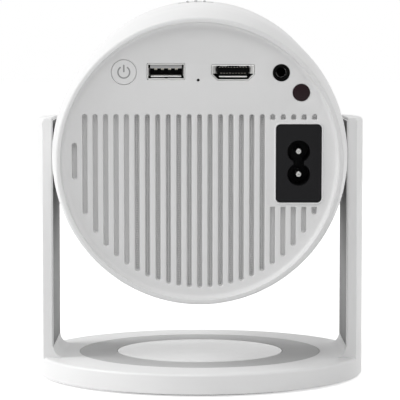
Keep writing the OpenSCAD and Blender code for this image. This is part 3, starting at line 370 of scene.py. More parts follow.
def build_finishes(colours):
    """One material for each of the record's slots, and one for each finish that only a part of a
    piece has."""
    along_lens = tuple(0.04 + 0.96 * (1 - abs(part)) for part in LENS_AXIS)
    fine = 0.00008
    smooth = 0.000001
    plastics = {
        "white_casing": dict(colour=dimmed(colours.casing, 0.955)[:3], roughness=0.36, shine=0.4),
        "stand_white": dict(colour=colours.casing, roughness=0.36, shine=0.45),
        "disc_white": dict(colour=grey(0.84), roughness=0.13, smear=0.03, shine=0.85),
        "button_white": dict(colour=colours.panel, roughness=0.42, smear=0.03),
        "tongue_white": dict(colour=(0.75, 0.75, 0.74), roughness=0.3),
        "panel_grey": dict(colour=colours.panel, roughness=0.50, grain=0.0003),
        # Painted shade: the panel colour dimmed for the floors of the blind grooves, where shade falls
        "groove_floor_painted_shade": dict(colour=dimmed(colours.panel, 0.82)[:3], roughness=0.6),
        "ring_grey": dict(colour=colours.ring, roughness=0.46, smear=0.05),
        "base_cover_grey": dict(colour=grey(0.5), roughness=0.55),
        # Painted shade: a dark grey for the arms' inward faces, which face the drum and get little light
        "cover_grey": dict(colour=grey(0.22), roughness=0.5),
        "tongue_grey": dict(colour=grey(0.42), roughness=0.4),
        "wheel_grey": dict(colour=grey(0.68), roughness=0.5),
        "mark_grey": dict(colour=grey(0.30), roughness=0.5),
        "black_plastic": dict(colour=colours.black, roughness=0.42, shine=0.25),
        "inlet_black": dict(colour=colours.black, roughness=0.5, shine=0.1),
        "socket_black": dict(colour=grey(0.002), roughness=0.45, shine=0.04),
        "fascia_black": dict(colour=(0.012, 0.012, 0.014), roughness=0.12, depth=0.000002, coat=0.15,
                             shine=0.3),
        "ir_window_dark": dict(colour=(0.020, 0.0085, 0.011), roughness=0.1, depth=smooth, shine=0.1),
        "display_dark": dict(colour=(0.02, 0.02, 0.03), roughness=0.12, depth=smooth, coat=0.5),
        "foot_rubber": dict(colour=grey(0.05), roughness=0.8, smear=0.2, depth=0.00003),
        "lead_rubber": dict(colour=grey(0.03), roughness=0.6),
        "washer_plastic": dict(colour=grey(0.1), roughness=0.35),
        "part_amber": dict(colour=(0.5, 0.22, 0.04), roughness=0.3, smear=0.2),
    }
    metals = {
        "plain_steel": dict(colour=(0.56, 0.56, 0.57), line_width=0.00012, stretch=(1, 1, 0.05)),
        "bush_brass": dict(colour=(0.72, 0.5, 0.2), line_width=0.00015, stretch=(1, 0.05, 0.05)),
        "socket_steel": dict(colour=(0.62, 0.62, 0.61), line_width=fine, stretch=along_lens),
        "contact_steel": dict(colour=(0.66, 0.63, 0.56), line_width=fine, stretch=along_lens),
        "pin_nickel": dict(colour=(0.40, 0.40, 0.39), line_width=fine, stretch=along_lens, smear=0.05),
        "bare_aluminium": dict(colour=(0.62, 0.63, 0.64), line_width=0.0002, stretch=along_lens),
        "reflector_mirror": dict(colour=grey(0.86), line_width=0.0006, stretch=(1, 1, 1), depth=0.0,
                                 smear=0.03),
    }
    return {
        **{slot: moulded(slot, **values) for slot, values in plastics.items()},
        **{slot: metal(slot, **values) for slot, values in metals.items()},
        "filter_grey": woven("filter_grey", colours.filter_mesh, 0.0006),
        "board_green": circuit("board_green", (0.02, 0.13, 0.05), (0.6, 0.45, 0.2)),
        "clear_glass": clear("clear_glass", (0.97, 0.99, 1.0)),
    }


SLOT_OF = {part["node"]: part["material_slot"] for part in frame["record"]["subparts"]}


def finish_node(node):
    """Gives a CAD node the finish of its slot."""
    mesh_object = frame["nodes"][node]
    mesh_object.data.materials.clear()
    mesh_object.data.materials.append(FINISHES[SLOT_OF[node]])


# ---------- Mesh tools ----------

NEW_MERGE = 1.5e-6
CAD_MERGE = 3e-6
FLAT_ANGLE = math.radians(0.4)
ROUNDED_ANGLE = math.radians(38)
SHARP_ANGLE = 32.0


def line(across, along, up):
    """Points from their three places, each a number or an array."""
    return np.stack(np.broadcast_arrays(across, along, up), -1)


def in_drum(points):
    """Row-frame places, in metres, of points given in millimetres inside the drum."""
    return from_drum(np.asarray(points, float) * MM)


def on_stand(points):
    """Row-frame places, in metres, of points given in millimetres on the stand."""
    return np.asarray(points, float) * MM


def directions(angle):
    """Points of a circle of radius 1 at the given angles: their cosines and their sines."""
    return np.stack([np.cos(angle), np.sin(angle)], -1)


def grid_faces(rows, columns, wrap=True):
    """Quads between neighbouring rows of a grid of points; wrap closes each row on itself."""
    first = np.arange(rows - 1)[:, None] * columns
    near = np.arange(columns if wrap else columns - 1)
    far = (near + 1) % columns
    corners = (first + near, first + far, first + columns + far, first + columns + near)
    return np.stack(np.broadcast_arrays(*corners), -1).reshape(-1, 4)


def soft_loop(corners, radius, grow=0.0, steps=6):
    """A convex outline with round corners: the corners move in by their radius, and an arc about each
    turns from one side's normal to the next; grow moves the whole outline outwards."""
    corners = np.asarray(corners, float)
    radius = np.broadcast_to(radius, len(corners))[:, None]
    sides = np.roll(corners, -1, 0) - corners
    normals = np.stack([sides[:, 1], -sides[:, 0]], -1) / np.linalg.norm(sides, axis=1)[:, None]
    before = np.roll(normals, 1, 0)
    mitre = (before + normals) / (1 + (before * normals).sum(1))[:, None]
    start = np.arctan2(before[:, 1], before[:, 0])
    turn = (np.arctan2(normals[:, 1], normals[:, 0]) - start) % math.tau
    angle = start[:, None] + turn[:, None] * np.linspace(0, 1, steps + 1)
    arcs = (radius + grow)[:, None] * directions(angle)
    return ((corners - radius * mitre)[:, None] + arcs).reshape(-1, 2)


def box_corners(x, v, width, height):
    """Corners of a rectangle, anticlockwise."""
    half = np.array([width, height]) / 2
    return np.array([x, v]) + half * np.array([[1, -1], [1, 1], [-1, 1], [-1, -1]])


def box_outline(x, v, width, height, radius, steps=6):
    """A rectangle with round corners, as a function of how far it grows."""
    return lambda grow: soft_loop(box_corners(x, v, width, height), radius, grow, steps)


def round_outline(x, v, radius, steps=48):
    """A circle, as a function of how far it grows."""
    angle = np.arange(steps) * math.tau / steps
    circle = directions(angle)
    return lambda grow: np.array([x, v]) + (radius + grow) * circle


def carried(outline, profile):
    """Carries a profile round an outline: each row is the outline moved out by the profile's first
    number, at the place along the drum that its second number gives."""
    rows = [np.insert(outline(grow), 1, along, axis=1) for grow, along in profile]
    return np.concatenate(rows), grid_faces(len(rows), len(rows[0]))


def lid(outline, grow, along):
    """One flat face that fills an outline."""
    points = np.insert(outline(grow), 1, along, axis=1)
    return points, [np.arange(len(points))]


def closed(outline, profile):
    """A profile carried round an outline, filled at its first and its last row."""
    return [carried(outline, profile), lid(outline, *profile[0]), lid(outline, *profile[-1])]


def revolved(profile, turn, steps=96):
    """A surface of revolution: the profile's distance from the axis times the cosine and the sine of
    the turn, with its place along the axis kept. Turn puts the three numbers in order."""
    profile = np.asarray(profile, float)
    angle = np.arange(steps) * math.tau / steps
    across = profile[:, :1] * np.cos(angle)
    up = profile[:, :1] * np.sin(angle)
    along = np.broadcast_to(profile[:, 1:], across.shape)
    return turn(across, along, up).reshape(-1, 3), grid_faces(len(profile), steps)


def along_drum(x=0.0, v=0.0):
    """Turns a surface of revolution to lie along the drum's axis, its middle at x and v."""
    return lambda across, along, up: line(across + x, along, up + v)


def upright(across, along, up):
    """Stands a surface of revolution on the stand's axis."""
    return line(across, up, along)


def eased(profile, rounds=2):
    """Cuts the corners of a line: each round puts a point at a quarter and at three quarters of every
    stretch, and keeps both ends."""
    line = np.asarray(profile, float)
    for _ in range(rounds):
        near, far = line[:-1], line[1:]
        cut = np.stack([near * 0.75 + far * 0.25, near * 0.25 + far * 0.75], 1).reshape(-1, 2)
        line = np.concatenate([line[:1], cut, line[-1:]])
    return line


def arc(centre, radius, start, end, steps=6):
    """Points of an arc about a centre, between two angles in degrees."""
    angle = np.radians(np.linspace(start, end, steps + 1))
    return np.array(centre) + radius * directions(angle)


def inside(points, outline):
    """Whether each point lies inside an outline: a line drawn sideways from it crosses the outline an
    odd number of times."""
    near, far = outline, np.roll(outline, -1, 0)
    x, y = points[:, :1], points[:, 1:]
    spans = (near[:, 1] > y) != (far[:, 1] > y)
    rise = far[:, 1] - near[:, 1]
    crossing = near[:, 0] + (y - near[:, 1]) * (far[:, 0] - near[:, 0]) / np.where(rise == 0, 1, rise)
    return (spans & (x < crossing)).sum(1) % 2 == 1


def flat_with_holes(border, holes, along):
    """A flat face with holes: the outlines are joined by triangles, and those whose middle lies in a
    hole are left out."""
    loops = [border, *holes]
    sizes = [len(loop) for loop in loops]
    starts = np.cumsum([0, *sizes[:-1]])
    plane = np.concatenate(loops)
    edges = np.concatenate([
        start + np.stack([np.arange(size), (np.arange(size) + 1) % size], -1)
        for start, size in zip(starts, sizes)])
    flat, _, faces, _, _, _ = delaunay_2d_cdt(
        [Vector(point) for point in plane], edges.tolist(), [], 1, 1e-6)
    flat = np.array([tuple(point) for point in flat])
    faces = np.array(faces)
    middles = flat[faces].mean(1)
    kept = ~np.any([inside(middles, hole) for hole in holes], axis=0)
    return np.insert(flat, 1, along, axis=1), faces[kept]


def stroke(path, out, width, height, steps=10):
    """A raised line: an ellipse carried along a flat path, with ends that close like a half ball. Out
    is the side that it stands on."""
    path = np.asarray(path, float)
    tangent = np.gradient(path, axis=0)
    tangent /= np.linalg.norm(tangent, axis=1)[:, None]
    fade = np.linspace(0, math.pi / 2, 5)
    centres = np.concatenate([
        path[0] - tangent[0] * np.cos(fade[:-1, None]) * width / 2, path,
        path[-1] + tangent[-1] * np.sin(fade[1:, None]) * width / 2])
    size = np.concatenate([np.sin(fade[:-1]), np.ones(len(path)), np.cos(fade[1:])])
    tangents = np.concatenate([
        np.repeat(tangent[:1], 4, 0), tangent, np.repeat(tangent[-1:], 4, 0)])
    side = np.cross(tangents, out)
    angle = np.arange(steps) * math.tau / steps
    ring = (side[:, None] * np.cos(angle)[:, None] * width / 2
            + np.asarray(out, float) * np.sin(angle)[:, None] * height)
    points = centres[:, None] + ring * size[:, None, None]
    return points.reshape(-1, 3), grid_faces(len(centres), steps)


def blade(path, across, width, thickness):
    """A bent strip: a thin rectangle carried along a path, wide across it."""
    path = np.asarray(path, float)
    across = np.asarray(across, float)
    tangent = np.gradient(path, axis=0)
    face = np.cross(tangent, across)
    face *= thickness / 2 / np.linalg.norm(face, axis=1)[:, None]
    half = across * width / 2
    rows = np.stack([path - half - face, path + half - face, path + half + face, path - half + face], 1)
    ends = [np.array([0, 1, 2, 3]), np.arange(4) + 4 * (len(path) - 1)]
    return rows.reshape(-1, 3), [*grid_faces(len(path), 4), *ends]


def finish_mesh(work, mesh, sharp):
    """Puts a worked mesh back, smooth apart from edges that turn by more than sharp degrees."""
    work.to_mesh(mesh)
    work.free()
    mesh.shade_smooth()
    mesh.set_sharp_from_angle(angle=math.radians(sharp))


def placed(name, data):
    """A new object in the scene."""
    new = bpy.data.objects.new(name, data)
    bpy.context.scene.collection.objects.link(new)
    return new


def settle(name, mesh, body, finish, stands_for=None, slot=None):
    """Makes a mesh a piece: its finish, its body and the CAD node that it stands for, which it hides. The slot is
    not kept."""
    piece = placed(name, mesh)
    mesh.materials.clear()
    mesh.materials.append(FINISHES[finish])
    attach(piece, body)
    slot or SLOT_OF[stands_for]
    if stands_for:
        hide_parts(stands_for)
    return piece


def make_piece(name, parts, body, finish, stands_for=None, slot=None, place=in_drum, sharp=SHARP_ANGLE):
    """Joins parts, each its points and its faces, into one closed mesh that rides on a body."""
    counts = np.cumsum([0, *[len(points) for points, _ in parts]])
    points = place(np.concatenate([part_points for part_points, _ in parts]))
    faces = [(np.asarray(face) + start).tolist()
             for (_, part_faces), start in zip(parts, counts) for face in part_faces]
    mesh = bpy.data.meshes.new(name)
    mesh.from_pydata(points.tolist(), [], faces)
    work = bmesh.new()
    work.from_mesh(mesh)
    bmesh.ops.remove_doubles(work, verts=work.verts, dist=NEW_MERGE)
    bmesh.ops.recalc_face_normals(work, faces=work.faces)
    finish_mesh(work, mesh, sharp)
    return settle(name, mesh, body, finish, stands_for, slot)


def second_finish(piece, finish, chosen):
    """Gives part of a piece another finish: chosen tells which faces, from their middles and normals."""
    faces = piece.data.polygons
    middles, normals = np.empty((len(faces), 3)), np.empty((len(faces), 3))
    faces.foreach_get("center", middles.ravel())
    faces.foreach_get("normal", normals.ravel())
    piece.data.materials.append(FINISHES[finish])
    faces.foreach_set("material_index", chosen(middles, normals).astype(np.int32))
    piece.data.update()


def softened(node, body, finish=None, edge=0.0, chosen=None, steps=2, moved=None):
    """A merged copy of a CAD node: its triangles are joined into flat faces again, moved shifts their
    corners, the chosen sharp edges are rounded, and the rest is shaded smooth, by the faces' areas."""
    mesh = frame["nodes"][node].data.copy()
    work = bmesh.new()
    work.from_mesh(mesh)
    bmesh.ops.remove_doubles(work, verts=work.verts, dist=CAD_MERGE)
    bmesh.ops.dissolve_limit(work, angle_limit=FLAT_ANGLE, verts=work.verts, edges=work.edges)
    if moved:
        for vert in work.verts:
            vert.co = moved(vert.co)
    if edge:
        rounded = [
            one for one in work.edges
            if len(one.link_faces) == 2 and one.calc_face_angle(0.0) > ROUNDED_ANGLE
            and one.is_convex and (chosen is None or chosen(one))]
        bmesh.ops.bevel(
            work, geom=rounded, offset=edge, segments=steps, profile=0.5, affect="EDGES",
            clamp_overlap=True)
    finish_mesh(work, mesh, SHARP_ANGLE)
    piece = settle("soft_" + node, mesh, body, finish or SLOT_OF[node], node)
    piece.modifiers.new("Even shading", "WEIGHTED_NORMAL").keep_sharp = True
    return piece


# ---------- Stand ----------

class PROJECTOR_OT_stand(bpy.types.Operator):
    """Round base with its two arms, their cover plates and the pieces under the base"""
    bl_idname = "projector.stand"
    bl_label = "Stand"

    def execute(self, context):
        edge = context.scene.projector_detail.arm_edge
        above_base = 0.0125
        arm_side = 0.0194
        near_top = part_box("stand_frame")[1][2] - 0.0001

        def on_arm(one):
            """Near, far and top edges of the arms."""
            ends = [vert.co for vert in one.verts]
            side = all(abs(end.y) > arm_side for end in ends)
            top = all(end.z > near_top for end in ends)
            return (side or top) and all(end.z > above_base for end in ends)

        softened("stand_frame", "stand", "stand_white", edge, on_arm, steps=3)
        for node in ("left_arm_cover", "right_arm_cover"):
            cover = softened(node, "stand", "stand_white", 0.0003, steps=3)
            # Painted shade: the cover faces that turn towards the drum get a dark grey for the shade between arm
            # and drum, while their edges stay white
            second_finish(cover, "cover_grey", lambda middles, normals: abs(normals[:, 0]) > 0.9)
        for node in ("base_cover", "foot_ring", "base_screws", "left_pivot_stud", "right_pivot_stud",
                     "friction_washers", "pivot_nuts"):
            softened(node, "stand", edge=0.0001)
        return {"FINISHED"}


class PROJECTOR_OT_inlays(bpy.types.Operator):
    """Grey ring and pale disc let into the top of the base"""
    bl_idname = "projector.inlays"
    bl_label = "Base inlays"

    def execute(self, context):
        """Each is a band between two circles, with a rounded upper edge on both sides."""
        low, high = (np.array(corner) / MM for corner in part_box("base_ring_inlay"))
        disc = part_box("base_centre_disc")[1][0] / MM
        seat = 0.1
        soft = 0.22
        ring = np.concatenate([
            [[disc + seat, low[2]]],
            arc((disc + seat + soft, high[2] - soft), soft, 180, 90),
            arc((high[0] - soft, high[2] - soft), soft, 90, 0),
            [[high[0], low[2]], [disc + seat, low[2]]]])
        make_piece("base_ring", [revolved(ring, upright, 160)], "stand", "ring_grey",
                   "base_ring_inlay", place=on_stand)
        plate = np.concatenate([
            [[0, low[2]], [disc, low[2]]],
            arc((disc - soft, high[2] - soft), soft, 0, 90),
            [[disc * 0.6, high[2]], [0, high[2]]]])
        make_piece("base_disc", [revolved(plate, upright, 160)], "stand", "disc_white",
                   "base_centre_disc", place=on_stand)
        return {"FINISHED"}


# ---------- Drum ----------

# Millimetres inside the drum, measured across, along the lens axis and up from the pivots.
FACE = drum_span("rear_panel")[0][1] / MM + 2.8
BACK = FACE + 2.0
REAR = FACE - 3.0
FLAT_RADIUS = 45.1
PORT_ROW = 30.0

# Slots: their row, and the ellipse that they end at.
SLOT_PITCH = 3.545
SLOT_WIDTH = 1.75
SLOT_TOP = 16.0
SLOT_REACH = 43.5
SLOT_SPREAD = 42.98
OPEN_EACH_SIDE = 6
VENT_DRAFT = 0.4
GROOVE_DRAFT = 0.25
GROOVE_DEPTH = 1.8
FRAME_GAP = 1.6
SQUARE_END = 0.35

# Openings: across and up to the middle, then width and height, or the radius.
INLET = (33.65, -0.8, 15.3, 26.5)
DATA = (-11.4, PORT_ROW + 0.4, 12.7, 5.4)
VIDEO = (11.25, PORT_ROW + 0.05, 14.5, 5.3)
BUTTON = (-25.65, PORT_ROW + 0.2, 4.2)
JACK = (27.6, PORT_ROW, 2.85)
EYE = (34.4, 23.3, 2.9)
PINHOLE = (-0.5, 27.5, 0.5)
VIDEO_CORNERS = np.array(VIDEO[:2]) + np.array([
    [-5.15, -2.65], [5.15, -2.65], [7.25, -0.6], [7.25, 2.65], [-7.25, 2.65], [-7.25, -0.6]])


def video_outline(grow):
    """Wide outline with its two lower corners cut off."""
    return soft_loop(VIDEO_CORNERS, 0.35, grow, 4)


def slot_stretches():
    """Number, middle, lower and upper end of every slot, with the radius of each end: they stop at an
    ellipse, at a level line above and beside the inlet's frame."""
    last = int(SLOT_SPREAD // SLOT_PITCH)
    beside = INLET[0] - INLET[2] / 2 - FRAME_GAP
    upper = INLET[1] + INLET[3] / 2 + FRAME_GAP
    lower = INLET[1] - INLET[3] / 2 - FRAME_GAP
    half = SLOT_WIDTH / 2
    found = []
    for number in range(-last, last + 1):
        x = number * SLOT_PITCH
        reach = SLOT_REACH * math.sqrt(1 - (x / SLOT_SPREAD) ** 2)
        top = min(SLOT_TOP, reach)
        ends = [(-reach, top, half, half)]
        if x + half > beside:
            ends = [(upper, top, SQUARE_END, half), (-reach, lower, half, SQUARE_END)]
        found += [(number, x, *end) for end in ends if end[1] - end[0] > SLOT_WIDTH]
    return found


def slot_outline(x, low, high, foot, head):
    """A slot with round ends; an end beside the inlet's frame is nearly square."""
    radius = np.array([foot, head, head, foot]) * 0.998
    return box_outline(x, (low + high) / 2, SLOT_WIDTH, high - low, radius, 7)


class PROJECTOR_OT_rear_panel(bpy.types.Operator):
    """Recessed rear panel with its slots, its openings and the raised frame of the inlet"""
    bl_idname = "projector.rear_panel"
    bl_label = "Rear panel"

    def execute(self, context):
        """A flat floor with holes; every hole has a lip that is a quarter circle, and the walls of the
        slots lean in. The border is a profile turned about the drum's axis."""
        lip = context.scene.projector_detail.slot_lip / MM
        turns = 160
        sockets = [
            box_outline(*DATA[:2], DATA[2] + 0.2, DATA[3] + 0.2, 0.4, 5),
            lambda grow: video_outline(grow + 0.1),
            round_outline(BUTTON[0], BUTTON[1], BUTTON[2] + 0.1, 64),
            round_outline(JACK[0], JACK[1], JACK[2] + 0.05),
            round_outline(EYE[0], EYE[1], EYE[2] + 0.05),
            round_outline(*PINHOLE, 24)]
        rounding = arc((lip, FACE + lip), lip, 270, 180, 4)
        edge = [(lip, FACE), *rounding.tolist()]
        parts = [carried(one, [*edge, (0, BACK)]) for one in sockets]
        vents, grooves = [], []
        for number, *stretch in slot_stretches():
            one = slot_outline(*stretch)
            if abs(number) <= OPEN_EACH_SIDE:
                vents.append(one)
                parts.append(carried(one, [*edge, (-VENT_DRAFT, BACK)]))
                continue
            grooves.append(one)
            lean = min(GROOVE_DRAFT, min(stretch[-2:]) - 0.03)
            floor = FACE + GROOVE_DEPTH
            bowl = [(-0.75 * lean, floor - 0.2), (-0.85 * lean, floor - 0.06), (-lean, floor)]
            parts += [carried(one, [*edge, *bowl]), lid(one, *bowl[-1])]
        frame_outline = box_outline(*INLET[:2], INLET[2] + 1.2, INLET[3] + 1.2, 2.0, 6)
        inner_edge = -0.45
        parts.append(carried(frame_outline, eased([
            (0.3, FACE), (0.0, FACE), (0.0, FACE - 0.4), (inner_edge, FACE - 0.4), (inner_edge, FACE),
            (inner_edge, BACK)])))
        holes = [one(lip) for one in sockets + vents + grooves] + [frame_outline(0.3)]
        parts.append(flat_with_holes(round_outline(0, 0, FLAT_RADIUS, turns)(0), holes, FACE))
        skirt = 47.9
        inner = skirt - 1.6
        wall = eased([
            (FLAT_RADIUS, FACE), (46.2, FACE - 0.15), (46.8, FACE - 0.8), (47.1, FACE - 1.7),
            (47.2, REAR + 0.22)], 3)
        rim = eased([
            (47.2, REAR + 0.22), (47.24, REAR), (47.5, REAR), (48.3, REAR + 0.05), (48.7, REAR + 0.3),
            (48.86, REAR + 0.95)], 2)
        outside = np.concatenate([
            wall, rim, [[48.5, REAR + 1.0], [48.0, REAR + 0.9], [skirt, REAR + 1.0], [skirt, BACK + 1],
                        [inner, BACK + 1], [inner, BACK]]])
        parts.append(revolved(outside, along_drum(), turns))
        open_holes = [*(one(0) for one in sockets), *(one(-VENT_DRAFT) for one in vents),
                      frame_outline(inner_edge)]
        parts.append(flat_with_holes(round_outline(0, 0, inner, turns)(0), open_holes, BACK))
        panel = make_piece("slotted_panel", parts, "drum", "panel_grey", "rear_panel")
        # Painted shade: the floors of the blind grooves, deep in the panel and facing out, take the dimmed panel
        # colour
        deep = (FACE + GROOVE_DEPTH - 0.1) * MM
        second_finish(panel, "groove_floor_painted_shade", lambda middles, normals: (
            (np.dot(middles - PIVOT, LENS_AXIS) > deep) & (np.dot(normals, LENS_AXIS) < -0.9)))
        return {"FINISHED"}


class PROJECTOR_OT_casing(bpy.types.Operator):
    """Drum shell, front bezel and the dark fascia in it"""
    bl_idname = "projector.casing"
    bl_label = "Drum casing"

    def execute(self, context):
        tucked = (REAR + 0.55) * MM
        axis, pivot = Vector(LENS_AXIS), Vector(PIVOT)

        def behind_rim(place):
            """Pulls the shell's rear edge in under the rim of the panel."""
            return place + axis * max(0.0, tucked - (place - pivot).dot(axis))

        softened("drum_shell", "drum", edge=0.00018, moved=behind_rim)
        softened("front_bezel", "drum", edge=0.00015)
        softened("front_fascia", "drum", edge=0.0003, steps=3)
        softened("focus_wheel", "thumb_wheel", edge=0.00045, steps=3)
        return {"FINISHED"}


class PROJECTOR_OT_power_button(bpy.types.Operator):
    """Round power button with a shallow dish, and the line symbol on it"""
    bl_idname = "projector.power_button"
    bl_label = "Power button"

    def execute(self, context):
        """The cap is turned about its own axis; its dish sinks with the square of the distance from
        the edge. The symbol is a broken ring and a bar."""
        detail = context.scene.projector_detail
        x, v, radius = BUTTON
        proud = FACE - 0.12
        dish = detail.button_dish / MM
        reach = radius - 0.55
        across = np.linspace(0, reach, 12)
        bowl = np.stack([across, proud + dish * (1 - (across / reach) ** 2)], -1)
        profile = np.concatenate([
            bowl, arc((radius - 0.3, proud + 0.3), 0.3, 270, 360, 5),
            [[radius, BACK + 0.2], [radius + 0.7, BACK + 0.2], [radius + 0.7, BACK + 1.0],
             [1.5, BACK + 1.0], [1.5, BACK + 3.0], [0, BACK + 3.0]]])
        make_piece("button_cap", [revolved(profile, along_drum(x, v), 80)], "button", "button_white",
                   "power_button")
        ring = 2.0
        gap = 38
        angle = np.radians(np.linspace(90 + gap, 450 - gap, 49))
        width = detail.mark_width / MM

        def on_dish(points):
            """Lays flat points on the dish, from their distance to the middle."""
            points = np.asarray(points, float)
            sunk = proud + dish * (1 - np.minimum((points ** 2).sum(1) / reach ** 2, 1))
            return line(points[:, 0] + x, sunk, points[:, 1] + v)

        arc_path = on_dish(ring * directions(angle))
        bar_path = on_dish(np.stack([np.zeros(9), np.linspace(0.2, 2.3, 9)], -1))
        parts = [stroke(path, (0, -1, 0), width, 0.035) for path in (arc_path, bar_path)]
        make_piece("power_symbol", parts, "button", "mark_grey", slot="ring_grey")
        return {"FINISHED"}


# ---------- Sockets ----------

SHELL_WALL = 0.35
LEAF = 0.12
ACROSS = (1, 0, 0)
UP = (0, 0, 1)
ALONG_LEAF = np.linspace(0, 1, 14)


def bent_spring(x, v, side, width, turned=False, reach=1.0, start=0.25, length=5.0):
    """A leaf spring: a strip that leaves a wall, bows in by its reach and comes back, as half a sine.
    Side is the way that it bows; turned puts it on an upright wall."""
    bow = side * reach * np.sin(ALONG_LEAF * math.pi) ** 0.8
    along = FACE + start + ALONG_LEAF * length
    if turned:
        return blade(line(x + bow, along, v), UP, width, LEAF)
    return blade(line(x, along, v + bow), ACROSS, width, LEAF)


def raised_ledge(x, v, width):
    """A wide leaf spring seen from its end: it rises steeply, runs level and comes down again."""
    rise = 0.62 * np.sin(ALONG_LEAF * math.pi) ** 0.4
    return blade(line(x, FACE + 0.6 + ALONG_LEAF * 3.2, v + rise), ACROSS, width, LEAF)


def side_wedge(x, v, side):
    """A flat side spring: a strip that runs in a straight line from the mouth's edge to the tongue."""
    share = np.linspace(0, 1, 4)
    path = line(x + side * (6.9 - 1.5 * share), FACE + 0.12 + 1.5 * share, v)
    return blade(path, UP, 2.7, LEAF)


def socket_shell(outline, depth):
    """Shell of a socket: outer wall, rounded front edge and inner wall, carried round its outline."""
    front = arc((-SHELL_WALL / 2, FACE + SHELL_WALL / 2), SHELL_WALL / 2, 0, -180, 6)
    return closed(outline, [(0, FACE + depth), *front, (-SHELL_WALL, FACE + depth - SHELL_WALL)])


def tongue(x, v, width, height, radius, front, back):
    """A tongue's plate with a rounded front edge."""
    nose = arc((-radius, FACE + front), radius, 270, 360, 4)
    return closed(box_outline(x, v, width, height, radius, 4), [*nose, (0, FACE + back)])


class PROJECTOR_OT_data_socket(bpy.types.Operator):
    """Data socket: steel shell with bent springs, and a tongue with four contacts"""
    bl_idname = "projector.data_socket"
    bl_label = "Data socket"

    def execute(self, context):
        """The shell is a thin wall carried round a rectangle, and its springs are bowed strips."""
        x, v, width, height = DATA
        inner = width - 2 * SHELL_WALL
        low = v - height / 2 + SHELL_WALL
        parts = socket_shell(box_outline(*DATA, 0.45, 4), 14.0)
        parts.append(raised_ledge(x, v - 1.75, 10.2))
        for side in (-1, 1):
            edge = x + side * (inner / 2 - 0.05)
            parts.append(bent_spring(edge, v - 0.2, -side, 2.6, turned=True, reach=0.5, start=0.5,
                                     length=4))
            parts.append(bent_spring(x + side * 2.75, low + 0.06, 1, 4.4, reach=0.2, start=0.3, length=2))
        make_piece("data_steel", parts, "drum", "socket_steel", "usb_shell")
        make_piece("data_plate", tongue(
            x, v + 1.65, inner - 1.2, 1.2, radius=0.25, front=0.95, back=13.5), "drum", "tongue_grey",
            "usb_tongue")
        core = box_outline(x, v, inner, height - 2 * SHELL_WALL, 0.2, 3)
        make_piece("data_core", closed(core, [(0, FACE + 4.2), (0, FACE + 13.6)]), "drum", "socket_black",
                   slot=SLOT_OF["audio_jack"])
        share = np.linspace(0, 1, 12)
        drop = 0.6 * np.sin(share * math.pi) ** 0.5
        parts = [
            blade(line(x + offset, FACE + 0.9 + share * 3.2, v + 1.02 - drop), ACROSS, 1.0, 0.16)
            for offset in (-3.5, -1.2, 1.2, 3.5)]
        make_piece("data_contacts", parts, "drum", "contact_steel", slot="pin_nickel")
        return {"FINISHED"}


class PROJECTOR_OT_video_socket(bpy.types.Operator):
    """Video socket: steel shell with springs, and a black tongue with rows of contacts"""
    bl_idname = "projector.video_socket"
    bl_label = "Video socket"

    def execute(self, context):
        """The shell is a thin wall carried round an outline with two cut corners."""
        x, v = VIDEO[:2]
        parts = [*socket_shell(video_outline, 11.0), raised_ledge(x, v - 1.55, 9.4)]
        for side in (-1, 1):
            parts.append(side_wedge(x, v + 1.0, side))
            parts.append(bent_spring(x + side * 3.2, v + 2.24, -1, 2.4, reach=0.2, start=0.4, length=3))
        make_piece("video_steel", parts, "drum", "socket_steel", "hdmi_shell")
        parts = tongue(x, v + 0.75, 10.4, 1.9, radius=0.2, front=1.1, back=10.5)
        parts += closed(lambda grow: video_outline(grow - SHELL_WALL), [(0, FACE + 4.0), (0, FACE + 10.6)])
        make_piece("video_plate", parts, "drum", "socket_black", "hdmi_tongue")
        along = FACE + 1.2 + np.linspace(0, 2.6, 6)
        parts = [
            blade(line(x + number - (count - 1) / 2, along, v + 0.75 + up), ACROSS, 0.42, LEAF)
            for count, up in ((10, 0.98), (9, -0.98)) for number in range(count)]
        make_piece("video_contacts", parts, "drum", "contact_steel", slot="pin_nickel")
        return {"FINISHED"}


class PROJECTOR_OT_round_ports(bpy.types.Operator):
    """Audio jack with its spring contacts, and the dark infrared window"""
    bl_idname = "projector.round_ports"
    bl_label = "Jack and infrared window"

    def execute(self, context):
        """Both are turned about their own axes: the jack's mouth is half an ellipse, and the window's
        face is a low dome."""
        x, v, radius = JACK
        bore = 1.8
        deep = FACE + 11.5
        half = (radius - bore) / 2
        flattened = 0.6
        mouth = arc((0, 0), half, 0, -180, 10) * (1, flattened)
        mouth += ((radius + bore) / 2, FACE - 0.2 + half * flattened)
        body = np.concatenate([[[radius, BACK + 0.1]], mouth, [[bore, deep], [0, deep], [0, deep + 0.4],
                               [radius, deep + 0.4], [radius, BACK + 0.1]]])
        make_piece("jack_body", [revolved(body, along_drum(x, v), 64)], "drum", "socket_black",
                   "audio_jack")
        sleeve = arc((bore - 0.1, FACE + 4.5), 0.12, 0, 360, 8)
        parts = [revolved(sleeve, along_drum(x, v), 48),
                 bent_spring(x + bore - 0.02, v - 0.5, -1, 1.0, turned=True, reach=0.3, start=0.3,
                             length=4)]
        make_piece("jack_contacts", parts, "drum", "socket_steel", slot="pin_nickel")
        x, v, radius = EYE
        soft = 0.22
        across = np.linspace(0, radius - 0.25, 10)
        dome = np.stack([across, FACE - soft + 0.14 * (across / radius) ** 2], -1)
        rim = arc((radius - soft, FACE + 0.1), soft, 270, 360, 4)
        window = np.concatenate([dome, rim, [[radius, BACK - 0.02], [0, BACK - 0.02]]])
        make_piece("infrared_eye", [revolved(window, along_drum(x, v), 64)], "drum", "ir_window_dark",
                   "ir_window")
        return {"FINISHED"}


